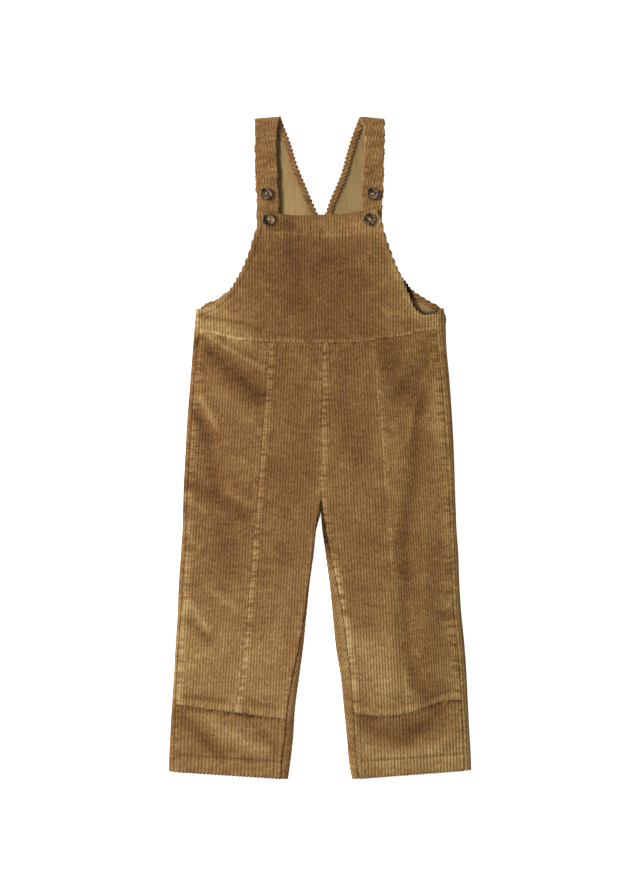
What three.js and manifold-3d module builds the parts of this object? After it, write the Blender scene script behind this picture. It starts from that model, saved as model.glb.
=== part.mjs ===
// Toddler overalls in wide corduroy, laid flat on their back with the bib buttoned.
// Millimetres. X runs across the garment, Y from the hems to the shoulders, and Z up from the
// surface that it lies on. The back lies flat, its sides roll up and over to the side seams,
// and the front panels lie on it.

import * as THREE from "three";
import Module from "manifold-3d";

const wasm = await Module();
wasm.setup();

// Cloth
const CLOTH = 1.2; // between the wales
const WALE = 0.55; // height of a wale above the cloth
const WALE_PITCH = 3.1;
const BACK_CLOTH = 1.5; // the back, pressed flat by what lies on it
const OVERLAP = 0.25; // of two halves that are joined into one piece
const HEM_CLOTH = 1.4; // a hem turned to the inside
const GAP = 0.3; // between two pieces at a seam, or between two layers

// How high the layers lie
const FRONT_TOP = 5.6; // the front panels' cloth, away from the folds
const HEM_UNDER = BACK_CLOTH + GAP;
const STRAP_UNDER = HEM_UNDER + HEM_CLOTH + GAP;
const STRAP_TOP = STRAP_UNDER + CLOTH;
const BIB_OVER_STRAP = STRAP_TOP + WALE + GAP + CLOTH + 0.1;
const HEM_RISE = 0.4; // the leg hem's second layer
const ROLL = 3.5; // how far the rolled side reaches in underneath
const CUFF_PITCH = 1.15 * WALE_PITCH; // the wales of the cuffs lie further apart

// Hems
const LEG_HEM = 18;
const NECK_HEM = 6.6;
const ARMHOLE_HEM = 6.2;
const ARMHOLE_HEM_LOW = 148; // the armholes' hems lie between these heights
const ARMHOLE_HEM_HIGH = { left: 165, right: 195 };
const NECK_TIP = { left: 0.9, right: 1.2 }; // x of each neck hem at the tip of the V
const NECK_TIP_WAY = [0, -1.15]; // which way the hem's width runs there, and how far per mm

// Buttons
const BUTTON_RADIUS = 6.5;
const BUTTON_HEIGHT = 2.8;
const BUTTON_FACETS = 20;
const HOLE_RADIUS = 0.85;
const HOLE_OFFSET = 1.6;
const HOLE_FACETS = 6;
const BUTTON_ABOVE = 0.1; // between the wales and the button
const BUTTON_UNDER = 0.2; // how far the flat middle of the underside stands up
const BUTTON_FLAT = 0.62; // its radius, as a share of the button's
// From the edge over the rim into the dish, as shares of radius and height
const BUTTON_RIM = [[1, 0.5], [0.97, 0.85], [0.82, 1], [0.6, 0.72], [0, 0.62]];

// Edges and seams of the legs, by height. Edges are the outline, the inner ones between the
// legs. The centre column is the centre seam down to the crotch, and the inseam below it.
const LEG_COLUMNS = {
  leftEdge: 1, leftSide: 2, leftPrincess: 3, leftCentre: 4, leftInner: 5,
  rightInner: 6, rightCentre: 7, rightPrincess: 8, rightSide: 9, rightEdge: 10,
};
const LEGS = [
  [125.4, -132.5, -126.7, -52.3, 3.2, 3.2, 3.2, 3.2, 56.0, 122.5, 132.5],
  [111.7, -133.6, -128.3, -52.8, 3.2, 3.2, 3.2, 3.2, 56.0, 124.1, 133.0],
  [72, -136.6, -131.8, -55.8, 2.7, 2.7, 2.7, 2.7, 59.8, 128.2, 136.5],
  [32, -139.7, -135.0, -58.9, 2.3, 2.3, 2.3, 2.3, 64.5, 131.5, 139.2],
  [-10, -142.1, -137.4, -62.3, 1.9, 1.9, 1.9, 1.9, 68.0, 134.6, 141.2],
  [-52, -144.2, -139.4, -65.8, 1.2, -0.1, 2.2, 1.2, 70.9, 136.8, 142.6],
  [-60, -144.4, -139.7, -66.4, -0.6, 0.5, 1.7, 2.7, 71.3, 137.1, 142.9],
  [-81.6, -144.6, -140.4, -68.1, -4.4, -3.2, 2.1, 5.8, 72.3, 137.5, 143.6],
  [-113, -146.7, -142.0, -70.9, -8.4, -7.2, 6.3, 11.6, 75.5, 138.8, 145.7],
  [-145, -148.9, -144.1, -73.9, -12.8, -11.6, 10.6, 18.5, 78.4, 139.9, 146.8],
  [-177, -150.0, -146.3, -76.4, -17.2, -14.8, 13.8, 24.5, 83.5, 141.5, 148.9],
  [-208, -152.0, -148.3, -79.2, -22.3, -17.9, 16.9, 28.5, 87.1, 144.6, 152.0],
  [-240, -153.6, -150.5, -82.4, -29.3, -22.2, 22.2, 32.7, 89.4, 147.3, 154.2],
  [-271.6, -155.7, -151.7, -88.7, -34.5, -26.4, 25.3, 35.2, 92.9, 148.9, 155.7],
  [-303, -157.8, -152.6, -91.8, -37.7, -28.5, 28.5, 37.3, 95.0, 151.0, 157.3],
  [-332, -159.1, -153.1, -94.0, -40.9, -31.9, 31.3, 39.1, 97.1, 152.0, 158.9],
  [-350, -159.4, -153.4, -95.0, -41.9, -34.5, 34.8, 41.7, 98.2, 152.6, 159.4],
];
const CROTCH = -60;
const LEG_ROWS = [72, 32, -10, -52, CROTCH, -81.6, -113, -145, -177, -208, -240];
const CUFF_MIDDLE = -303;
const TURNS = 4; // rounds in which the points of a slanting row settle

// Edge and seam of the bodice's rolled sides, by height
const BODICE_COLUMNS = { leftEdge: 1, leftSide: 2, rightSide: 3, rightEdge: 4 };
const BODICE_SIDES = [
  [111.7, -133.6, -126.7, 122.5, 133.0],
  [125.4, -132.5, -126.7, 122.5, 132.5],
  [147.5, -130.2, -126.7, 122.5, 130.4],
];
const BACK_LOW = 111.7; // the halves of the back narrow from this height up
const BIB_LOW = 125.4; // the bib's sides are those of the bodice at this height
// Height of the underarm, at the side seam and at the edge
const UNDERARM = { left: [146.9, 146.9], right: [142.2, 147.5] };

// Lines across the garment, as x and height
const WAIST = [
  [-137.3, 123.8], [-124.6, 122.7], [-117.2, 120.9], [-108.7, 119.6], [-99.2, 116.2],
  [-90.8, 114.6], [-72.9, 113.0], [-54.9, 111.7], [0.0, 111.2], [53.8, 113.0], [63.3, 115.0],
  [80.2, 117.1], [91.9, 119.0], [105.6, 122.6], [122.5, 124.3], [137.3, 125.4],
];
// The back's waist seam runs straight between the rolled sides
const BACK_WAIST = [[-130, 123.2], [129.5, 124.8]];
const BACK_WAIST_REACH = 126.5;
const CUFF_SEAM = [
  [-163.6, -269.5], [-151.0, -270.5], [-121.4, -274.8], [-91.9, -279.0], [-65.5, -282.7],
  [-39.1, -285.3], [-21.1, -286.4], [21.1, -277.4], [37.0, -280.1], [50.0, -282.2],
  [60.0, -283.1], [69.0, -283.2], [78.0, -282.5], [87.0, -281.0], [95.0, -279.0],
  [114.0, -272.7], [126.7, -268.4], [146.8, -265.3], [163.6, -264.2],
];
const HEM = [[-163.6, -341.3], [-34.8, -349.7], [34.8, -349.7], [163.6, -339.9]];
const BIB_EDGE = [
  [-128.8, 146.7], [-123.5, 147.5], [-118.5, 149.2], [-113.6, 151.2], [-109.3, 154.6],
  [-105.6, 158.1], [-100.9, 161.9], [-94.6, 168.8], [-88.7, 178.6], [-82.4, 190.3],
  [-79.0, 198.2], [-75.5, 206.9], [-72.6, 217.7], [-69.7, 225.7], [-67.3, 234.1],
  [-65.5, 242.6], [-63.3, 249.4], [-46.5, 247.8], [-31.7, 245.7], [0.0, 246.3],
  [26.4, 247.3], [44.3, 250.0], [60.2, 252.1], [64.1, 242.6], [67.4, 233.1],
  [69.7, 223.6], [71.8, 217.2], [75.0, 208.8], [78.1, 200.3], [81.3, 191.9],
  [85.4, 183.4], [89.3, 175.6], [91.7, 167.8], [95.2, 161.0], [97.1, 155.1],
  [99.6, 149.2], [103.0, 145.4], [107.0, 142.0], [110.9, 140.5], [116.7, 141.0],
  [124.6, 142.0],
];

// Outer edge of the back from the underarm to the shoulder, as height and x
const BACK_LEFT = [
  [111.7, -130.0], [147.5, -126.2], [150.2, -123.5], [153.9, -117.5], [156.0, -110.9],
  [159.2, -105.6], [164.4, -99.8], [172.9, -92.4], [182.4, -86.6], [191.9, -81.8],
  [200.3, -78.7], [217.2, -73.4], [234.1, -69.2], [242.6, -68.6], [350, -69.2],
];
const BACK_RIGHT = [
  [111.7, 129.0], [147.5, 127.5], [150.2, 124.5], [154.2, 116.7], [159.2, 108.7],
  [163.9, 101.0], [168.8, 95.2], [174.7, 91.2], [178.6, 87.3], [185.6, 83.4],
  [194.0, 79.2], [210.9, 72.9], [219.3, 69.7], [229.9, 68.0], [242.6, 66.8], [350, 68.1],
];
// The V of the neck from its point to the shoulder, as height and x
const NECK_LEFT = [
  [238.3, 1.3], [241.5, -0.5], [248.4, -3.3], [265.4, -10.6], [278.2, -16.0], [293.7, -22.4],
  [305.9, -26.6], [322.8, -31.7], [336.1, -37.0], [344.5, -40.2], [350, -41.2],
];
const NECK_RIGHT = [
  [238.3, 0.8], [241.5, 3.2], [246.3, 5.3], [262.6, 11.0], [275.9, 16.9], [291.6, 23.0],
  [304.2, 26.4], [321.2, 31.1], [330.4, 34.3], [344.5, 39.8], [350, 41.7],
];
const HEM_TOP_ROW = 344.5;

// Front straps from the shoulder fold down behind the bib: height, outer edge, inner edge
const STRAP_LEFT = [
  [217.2, -64.9, -40.6], [248.9, -66.5, -42.2], [281.6, -68.6, -43.6], [340.8, -69.2, -43.4],
  [350, -69.2, -41.2],
];
const STRAP_RIGHT = [
  [217.2, 64.4, 41.7], [253.1, 66.1, 43.3], [288.0, 67.6, 44.3], [341.8, 68.4, 44.3],
  [350, 68.1, 41.7],
];
const STRAP_ROWS = [340, 318, 296, 274, 250, 217.2];
const SHOULDER = 349.9; // top of the fold at its neck side
const SHOULDER_SLOPE = 0.095;
const STRAP_NECK_X = 41.5;
const STRAP_BACK_ROW = 322.8; // where the strap grows out of the back
const FOLD_WALES = [0, 0, 0.6, 0.9, 1]; // how far the wales stand up round the fold
// Where the bib lies over the straps: the middle of a strap, half its width, the strap's end
// and the way over which the bib comes down again
const OVER_STRAP = { middle: 54.5, half: 14.5, low: 216, fade: 14 };

// Largest folds: two ends, half width and rise, a fall being negative
const FOLDS = [
  [-125.6, 115.9, -63.3, 53.6, 8, -1.5],
  [-118.0, 132.0, -67.6, 90.0, 6, 0.7],
  [-128.8, 46.2, -107.7, 20.9, 6, 0.8],
  [-136.2, -40.4, -75.0, -73.1, 7, -1.2],
  [-136.2, -159.7, -118.2, -192.4, 6, 0.8],
  [-133.0, -173.4, -120.4, -203.0, 5, -0.8],
  [84.5, 108.5, 77.1, 50.4, 15, -1.4],
  [109.8, 53.6, 99.2, -37.2, 7, -1.1],
  [89.7, -120.6, 96.1, -236.8, 7, -1.2],
  [96.1, -236.8, 111.9, -262.1, 8, -0.9],
  [68.6, -290.0, 110.9, -290.0, 12, -1.2],
  [-147.8, -284.0, -103.5, -326.5, 7, -1.1],
  [-103.5, -292.0, -45.4, -326.5, 7, 0.7],
  [-20.0, 170.0, 10.0, 215.0, 40, -0.8],
  [-30.0, 60.0, -30.0, -20.0, 14, -0.6],
  [30.0, 60.0, 34.0, -40.0, 16, -0.7],
];

const LOOKS = {
  corduroy: { color: 0x8d6a42, roughness: 0.95, metalness: 0 },
  button: { color: 0x4a3827, roughness: 0.35, metalness: 0 },
};

// The value of a column where the first column reaches a key, straight between the rows
function at(table, key, column = 1) {
  const rising = table[table.length - 1][0] > table[0][0];
  let k = 1;
  while (k < table.length - 1 && (rising ? table[k][0] < key : table[k][0] > key)) k++;
  const [low, high] = [table[k - 1], table[k]];
  const share = (key - low[0]) / (high[0] - low[0]);
  return low[column] + share * (high[column] - low[column]);
}

function leg(column, y) {
  return at(LEGS, y, LEG_COLUMNS[column]);
}

function bodice(column, y) {
  return at(BODICE_SIDES, y, BODICE_COLUMNS[column]);
}

function mix(a, b, share) {
  return a + (b - a) * share;
}

// Top of the front cloth between its wales
function frontTop(x, y) {
  let z = FRONT_TOP;
  for (const [x1, y1, x2, y2, width, rise] of FOLDS) {
    const [dx, dy] = [x2 - x1, y2 - y1];
    const share = ((x - x1) * dx + (y - y1) * dy) / (dx * dx + dy * dy);
    const along = THREE.MathUtils.clamp(share, 0, 1);
    const away = Math.hypot(x - x1 - along * dx, y - y1 - along * dy);
    z += rise * Math.exp(-((away / width) ** 2));
  }
  return z;
}

// The bib rises where the straps pass behind its corners
function bibTop(x, y) {
  const { middle, half, low, fade } = OVER_STRAP;
  const outside = Math.max(Math.abs(Math.abs(x) - middle) - half, 0);
  const below = Math.max(low - y, 0);
  const share = THREE.MathUtils.smootherstep(fade - Math.hypot(outside, below), 0, fade);
  return mix(frontTop(x, y), BIB_OVER_STRAP, share);
}

// A closed wall from an outer and an inner net of points with the same rows. The inner net
// has every step-th column of the outer one.
function wall(rows, columns, step, outer, inner) {
  const points = [];
  const faces = [];
  const marks = [];
  for (let j = 0; j < columns; j += step) marks.push(j);
  marks.push(columns);
  const last = marks.length - 1;
  const add = (point) => points.push(point) - 1;
  const quad = (a, b, c, d) => faces.push([a, b, c], [a, c, d]);
  const top = [];
  const under = [];
  for (let i = 0; i <= rows; i++) {
    top.push(Array.from({ length: columns + 1 }, (_, j) => add(outer(i, j))));
    under.push(marks.map((j) => add(inner(i, j))));
  }
  for (let i = 0; i < rows; i++) {
    for (let j = 0; j < columns; j++) {
      quad(top[i][j], top[i][j + 1], top[i + 1][j + 1], top[i + 1][j]);
    }
    for (let m = 0; m < last; m++) {
      quad(under[i][m], under[i + 1][m], under[i + 1][m + 1], under[i][m + 1]);
    }
    quad(top[i][0], top[i + 1][0], under[i + 1][0], under[i][0]);
    quad(top[i + 1][columns], top[i][columns], under[i][last], under[i + 1][last]);
  }
  for (let m = 0; m < last; m++) {
    for (let j = marks[m]; j < marks[m + 1]; j++) {
      faces.push([top[0][j + 1], top[0][j], under[0][m]]);
      faces.push([top[rows][j], top[rows][j + 1], under[rows][m]]);
    }
    faces.push([top[0][marks[m + 1]], under[0][m], under[0][m + 1]]);
    faces.push([under[rows][m], top[rows][marks[m + 1]], under[rows][m + 1]]);
  }
  return facingOut(points, faces);
}

function facingOut(points, faces) {
  let volume = 0;
  for (const [a, b, c] of faces) {
    const [p, q, r] = [points[a], points[b], points[c]];
    volume += p[0] * (q[1] * r[2] - q[2] * r[1]) + p[1] * (q[2] * r[0] - q[0] * r[2])
      + p[2] * (q[0] * r[1] - q[1] * r[0]);
  }
  return { points, faces: volume < 0 ? faces.map(([a, b, c]) => [a, c, b]) : faces };
}

function solidOf({ points, faces }) {
  return new wasm.Manifold(new wasm.Mesh({
    numProp: 3,
    vertProperties: new Float32Array(points.flat()),
    triVerts: new Uint32Array(faces.flat()),
  }));
}

// Points and faces of a solid
function netOf(solid) {
  const mesh = solid.getMesh();
  const threes = (list, step) => {
    const rows = [];
    for (let k = 0; k < list.length; k += step) rows.push(Array.from(list.slice(k, k + 3)));
    return rows;
  };
  return { points: threes(mesh.vertProperties, mesh.numProp), faces: threes(mesh.triVerts, 3) };
}

function joined(parts) {
  return netOf(parts.map(solidOf).reduce((whole, part) => whole.add(part)));
}

const garment = new THREE.Group();

function place(name, look, { points, faces }) {
  const geometry = new THREE.BufferGeometry();
  geometry.setAttribute("position", new THREE.Float32BufferAttribute(points.flat(), 3));
  geometry.setIndex(faces.flat());
  geometry.computeVertexNormals();
  const mesh = new THREE.Mesh(geometry, new THREE.MeshStandardMaterial(LOOKS[look]));
  mesh.name = name;
  garment.add(mesh);
  return mesh;
}

// Every second column stands up as a wale
function ridge(j) {
  return j % 2 ? WALE : 0;
}

function evenColumns(width, pitch = WALE_PITCH) {
  return 2 * Math.round(width / pitch);
}

// A front panel between two seams and two lines across it, with its wales along the seams
function panel(left, right, rowHeights, columns, topOf, rise = () => 0) {
  const spotOf = (i, j) => {
    let x = 0;
    let y = rowHeights[i](0);
    for (let turn = 0; turn < TURNS; turn++) {
      x = mix(left(y) + GAP / 2, right(y) - GAP / 2, j / columns);
      y = rowHeights[i](x);
    }
    return [x, y];
  };
  const outer = (i, j) => {
    const [x, y] = spotOf(i, j);
    return [x, y, topOf(x, y) + rise(i) + ridge(j)];
  };
  const inner = (i, j) => {
    const [x, y] = spotOf(i, j);
    return [x, y, topOf(x, y) - CLOTH];
  };
  return wall(rowHeights.length - 1, columns, 4, outer, inner);
}

// A point of a rolled side: share runs from the seam on top, 0, round the edge to the surface
// underneath, 1. Inset goes into the cloth and lift stands a wale up.
function roll(seam, edge, top, share, inset, lift) {
  const out = Math.sign(edge - seam);
  const angle = share * Math.PI;
  const half = top / 2;
  const reach = angle <= Math.PI / 2
    ? mix(seam, edge - out * inset, Math.sin(angle))
    : edge - out * inset - out * (ROLL - inset) * (1 - Math.sin(angle));
  return [
    reach + out * lift * Math.sin(angle),
    half + (half - inset + lift) * Math.cos(angle),
  ];
}

const ROLL_COLUMNS = 8;
const LAST_ROLL_WALE = 5;

// The leg's back, as a net of sections. Each section rolls over at the outer edge, runs along
// the surface, and ends at the centre back seam or rolls over at the inner edge.
function legBack(side, out, rowHeights, wraps) {
  const flat = 4;
  const columns = ROLL_COLUMNS + flat + (wraps ? ROLL_COLUMNS : 0);
  const point = (i, j, inset) => {
    let share = j / ROLL_COLUMNS;
    let [seam, edge, sign] = [`${side}Side`, `${side}Edge`, -out];
    if (wraps && j >= ROLL_COLUMNS + flat) {
      share = (columns - j) / ROLL_COLUMNS;
      [seam, edge, sign] = [`${side}Centre`, `${side}Inner`, out];
    }
    let y = rowHeights[i](0);
    let [x, z] = [0, inset];
    for (let turn = 0; turn < TURNS; turn++) {
      if (share <= 1) {
        const seamX = leg(seam, y) + sign * GAP / 2;
        const number = Math.round(share * ROLL_COLUMNS);
        const lift = inset ? 0 : ridge(number) * (number <= LAST_ROLL_WALE ? 1 : 0);
        [x, z] = roll(seamX, leg(edge, y), frontTop(seamX, y), share, inset, lift);
      } else {
        const start = leg(`${side}Edge`, y) + out * ROLL;
        const end = wraps
          ? leg(`${side}Inner`, y) - out * ROLL
          : leg(`${side}Centre`, y) - out * GAP / 2;
        x = mix(start, end, (j - ROLL_COLUMNS) / flat);
      }
      y = rowHeights[i](x);
    }
    return [x, y, z];
  };
  return wall(
    rowHeights.length - 1, columns, 2,
    (i, j) => point(i, j, 0),
    (i, j) => point(i, j, BACK_CLOTH),
  );
}

const level = (y) => () => y;
const hemLine = (x) => at(HEM, x);
const cuffLine = (x) => at(CUFF_SEAM, x);
const waistLine = (x) => at(WAIST, x);
const backWaist = (x) => at(Math.abs(x) < BACK_WAIST_REACH ? BACK_WAIST : WAIST, x);

// Legs: two front panels, a front cuff and a back on each side. out is +1 where the leg's
// inner edge lies at greater x.
for (const [side, out] of [["left", 1], ["right", -1]]) {
  const rows = [(x) => waistLine(x) - GAP / 2, ...LEG_ROWS.map(level), (x) => cuffLine(x) + GAP / 2];
  const seams = ["Side", "Princess", "Centre"].map((seam) => (y) => leg(side + seam, y));
  const between = (a, b) => (out > 0 ? [seams[a], seams[b]] : [seams[b], seams[a]]);
  for (const [name, a, b] of [["side", 0, 1], ["centre", 1, 2]]) {
    const [left, right] = between(a, b);
    const columns = evenColumns(right(CROTCH) - left(CROTCH));
    place(`front_${name}_${side}`, "corduroy", panel(left, right, rows, columns, frontTop));
  }
  const [left, right] = between(0, 2);
  const cuffRows = [
    (x) => cuffLine(x) - GAP / 2,
    level(CUFF_MIDDLE),
    (x) => hemLine(x) + LEG_HEM,
    (x) => hemLine(x) + LEG_HEM - CLOTH,
    hemLine,
  ];
  const columns = evenColumns(right(CUFF_MIDDLE) - left(CUFF_MIDDLE), CUFF_PITCH);
  const cuffRise = (i) => (i > 2 ? HEM_RISE : 0);
  place(`cuff_${side}`, "corduroy", panel(left, right, cuffRows, columns, frontTop, cuffRise));

  const upper = [(x) => backWaist(x) - GAP / 2, ...LEG_ROWS.filter((y) => y >= CROTCH).map(level)];
  const lower = [
    ...LEG_ROWS.filter((y) => y <= CROTCH).map(level), cuffLine, level(CUFF_MIDDLE),
    (x) => hemLine(x) + LEG_HEM, hemLine,
  ];
  place(`back_leg_${side}`, "corduroy", joined([
    legBack(side, out, upper, false),
    legBack(side, out, lower, true),
  ]));
}

// Bib: its wales run straight up from the waist seam to the armholes and the top edge
{
  const left = bodice("leftSide", BIB_LOW) + GAP / 2;
  const right = bodice("rightSide", BIB_LOW) - GAP / 2;
  const columns = evenColumns(right - left);
  const rows = 9;
  const spot = (i, j) => {
    const x = mix(left, right, j / columns);
    return [x, mix(waistLine(x) + GAP / 2, at(BIB_EDGE, x), i / rows)];
  };
  place("bib", "corduroy", wall(
    rows, columns, 4,
    (i, j) => [...spot(i, j), bibTop(...spot(i, j)) + ridge(j)],
    (i, j) => [...spot(i, j), bibTop(...spot(i, j)) - CLOTH],
  ));
}

// Back bodice, in one piece with the straps that fold over at the shoulders
function backHalf(outerEdge, neck, side) {
  const neckPoint = neck[0][0];
  const heights = outerEdge.map((row) => row[0]).slice(1).concat(neck.map((row) => row[0]));
  const rows = [...new Set(heights)].filter((y) => y < HEM_TOP_ROW).sort((a, b) => a - b);
  rows.push(HEM_TOP_ROW);
  const flat = 4;
  const out = side === "left" ? -1 : 1;
  const centre = leg("leftCentre", BACK_LOW) - out * OVERLAP;
  const point = (i, j, z) => {
    if (i === 0) {
      const x = mix(outerEdge[0][1], centre, j / flat);
      return [x, backWaist(x) + GAP / 2, z];
    }
    const y = rows[i - 1];
    const inner = y < neckPoint
      ? mix(centre, neck[0][1], (y - BACK_LOW) / (neckPoint - BACK_LOW))
      : at(neck, y);
    return [mix(at(outerEdge, y), inner, j / flat), y, z];
  };
  const sheet = wall(
    rows.length, flat, 1,
    (i, j) => point(i, j, BACK_CLOTH),
    (i, j) => point(i, j, 0),
  );

  // The side that rolls over to the side seam below the armhole
  const [seam, edge] = [`${side}Side`, `${side}Edge`];
  const tall = 3;
  const rolled = (i, j, inset) => {
    const share = Math.min(j / ROLL_COLUMNS, 1);
    const lift = inset || j > LAST_ROLL_WALE ? 0 : ridge(j);
    const corner = mix(...UNDERARM[side], Math.sin(share * Math.PI / 2));
    let [x, y, z] = [0, BIB_LOW, 0];
    for (let turn = 0; turn < TURNS; turn++) {
      const seamX = bodice(seam, y) + out * GAP / 2;
      [x, z] = roll(seamX, bodice(edge, y), frontTop(seamX, y), share, inset, lift);
      if (j > ROLL_COLUMNS) x -= out * ROLL;
      y = mix(backWaist(x) + GAP / 2, corner, i / tall);
    }
    return [x, y, z];
  };
  const rolledSide = wall(
    tall, ROLL_COLUMNS + 1, 2,
    (i, j) => rolled(i, j, 0),
    (i, j) => rolled(i, j, BACK_CLOTH),
  );
  return [sheet, rolledSide];
}

// The strap from the back over the fold at the shoulder and down the front
function strap(table, neck, outerEdge) {
  const columns = 16;
  const bend = STRAP_TOP / 2;
  const innerBend = (STRAP_UNDER - BACK_CLOTH) / 2;
  const middle = SHOULDER - bend;
  const stations = [{ y: STRAP_BACK_ROW, z: [0, BACK_CLOTH], back: true, lift: 0 }];
  for (let k = 0; k <= 4; k++) {
    const angle = (k - 2) * Math.PI / 4;
    stations.push({
      y: middle + bend * Math.cos(angle),
      yInner: middle + innerBend * Math.cos(angle),
      z: [bend + bend * Math.sin(angle), BACK_CLOTH + innerBend + innerBend * Math.sin(angle)],
      back: k < 1,
      lift: FOLD_WALES[k],
      sloped: true,
    });
  }
  for (const y of STRAP_ROWS) stations.push({ y, z: [STRAP_TOP, STRAP_UNDER], lift: 1 });
  const point = (i, j, layer) => {
    const s = stations[i];
    const y = layer && s.yInner ? s.yInner : s.y;
    const [outside, inside] = s.back
      ? [at(outerEdge, s.y), at(neck, s.y)]
      : [at(table, s.y, 1), at(table, s.y, 2)];
    const x = mix(outside, inside, j / columns);
    const slope = s.sloped ? SHOULDER_SLOPE * (Math.abs(x) - STRAP_NECK_X) : 0;
    return [x, y - slope, s.z[layer] + (layer ? 0 : s.lift * ridge(j))];
  };
  return wall(
    stations.length - 1, columns, 4,
    (i, j) => point(i, j, 0),
    (i, j) => point(i, j, 1),
  );
}

place("back_bodice", "corduroy", joined([
  ...backHalf(BACK_LEFT, NECK_LEFT, "left"),
  ...backHalf(BACK_RIGHT, NECK_RIGHT, "right"),
  strap(STRAP_LEFT, NECK_LEFT, BACK_LEFT),
  strap(STRAP_RIGHT, NECK_RIGHT, BACK_RIGHT),
]));

// A hem turned to the inside along an edge, lying on the back's inner face
function hemBand(edge, width, turn) {
  const inset = GAP / 2;
  const rows = edge.map(([x, y], k) => {
    const [before, after] = [edge[Math.max(k - 1, 0)], edge[Math.min(k + 1, edge.length - 1)]];
    const [dx, dy] = [after[0] - before[0], after[1] - before[1]];
    const length = Math.hypot(dx, dy);
    const normal = [-turn * dy / length, turn * dx / length];
    return { spot: [x, y], normal: edge[k][2] ?? normal };
  });
  const columns = 4;
  const point = (i, j, z) => {
    const { spot, normal } = rows[i];
    const reach = mix(inset, width, j / columns);
    return [spot[0] + normal[0] * reach, spot[1] + normal[1] * reach, z];
  };
  return wall(
    rows.length - 1, columns, 2,
    (i, j) => point(i, j, HEM_UNDER + HEM_CLOTH),
    (i, j) => point(i, j, HEM_UNDER),
  );
}

for (const [side, neck, out] of [["left", NECK_LEFT, -1], ["right", NECK_RIGHT, 1]]) {
  const edge = neck.filter(([y]) => y <= HEM_TOP_ROW).map(([y, x]) => [x, y]);
  edge[0] = [NECK_TIP[side] + out * GAP / 2, edge[0][1], NECK_TIP_WAY];
  place(`neck_hem_${side}`, "corduroy", hemBand(edge, NECK_HEM, -out));
}
for (const [side, table, out] of [["left", BACK_LEFT, -1], ["right", BACK_RIGHT, 1]]) {
  const rows = table.filter(([y]) => y > ARMHOLE_HEM_LOW && y < ARMHOLE_HEM_HIGH[side]);
  const edge = rows.map(([y, x]) => [x, y]);
  place(`armhole_hem_${side}`, "corduroy", hemBand(edge, ARMHOLE_HEM, out));
}

// Buttons: a rim round a shallow dish, with four holes
function button() {
  const [r, h] = [BUTTON_RADIUS, BUTTON_HEIGHT];
  const profile = [
    [0, BUTTON_UNDER], [r * BUTTON_FLAT, BUTTON_UNDER],
    ...BUTTON_RIM.map(([radius, height]) => [r * radius, h * height]),
  ].map(([x, y]) => new THREE.Vector2(x, y));
  const drill = [[0, -1], [HOLE_RADIUS, -1], [HOLE_RADIUS, h + 1], [0, h + 1]];
  let whole = latheSolid(profile, BUTTON_FACETS);
  for (let k = 0; k < 4; k++) {
    const hole = latheSolid(drill.map(([x, y]) => new THREE.Vector2(x, y)), HOLE_FACETS);
    const angle = Math.PI / 4 + k * Math.PI / 2;
    whole = whole.subtract(hole.translate([
      HOLE_OFFSET * Math.cos(angle), HOLE_OFFSET * Math.sin(angle), 0,
    ]));
  }
  return whole;
}

// A profile of radius and height turned round the Z axis
function latheSolid(profile, facets) {
  const points = [[0, 0, profile[0].y], [0, 0, profile[profile.length - 1].y]];
  const faces = [];
  const rings = profile.slice(1, -1);
  for (const { x, y } of rings) {
    for (let k = 0; k < facets; k++) {
      const angle = 2 * Math.PI * k / facets;
      points.push([x * Math.cos(angle), x * Math.sin(angle), y]);
    }
  }
  const index = (ring, k) => 2 + ring * facets + (k % facets);
  for (let k = 0; k < facets; k++) {
    faces.push([0, index(0, k + 1), index(0, k)]);
    faces.push([1, index(rings.length - 1, k), index(rings.length - 1, k + 1)]);
    for (let ring = 0; ring < rings.length - 1; ring++) {
      faces.push([index(ring, k), index(ring, k + 1), index(ring + 1, k + 1)]);
      faces.push([index(ring, k), index(ring + 1, k + 1), index(ring + 1, k)]);
    }
  }
  return solidOf(facingOut(points, faces));
}

const BUTTONS = [
  ["strap_button_left", -56.5, 267.9, STRAP_TOP],
  ["bib_button_left", -53.8, 240.5, BIB_OVER_STRAP],
  ["strap_button_right", 55.6, 267.9, STRAP_TOP],
  ["bib_button_right", 52.3, 240.5, BIB_OVER_STRAP],
];
for (const [name, x, y, cloth] of BUTTONS) {
  place(name, "button", netOf(button())).position.set(x, y, cloth + WALE + BUTTON_ABOVE);
}

export default garment;
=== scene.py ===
# %% [markdown]
# # Toddler overalls in wide corduroy
#
# The overalls lie flat on their back with the bib buttoned, and the camera looks straight down.
# The solid model holds the size and the place of every cut piece. This lesson puts a thin shell
# of real cloth on each of those solids: wales, seams, puckers, creases, hems and stitches.

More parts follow.
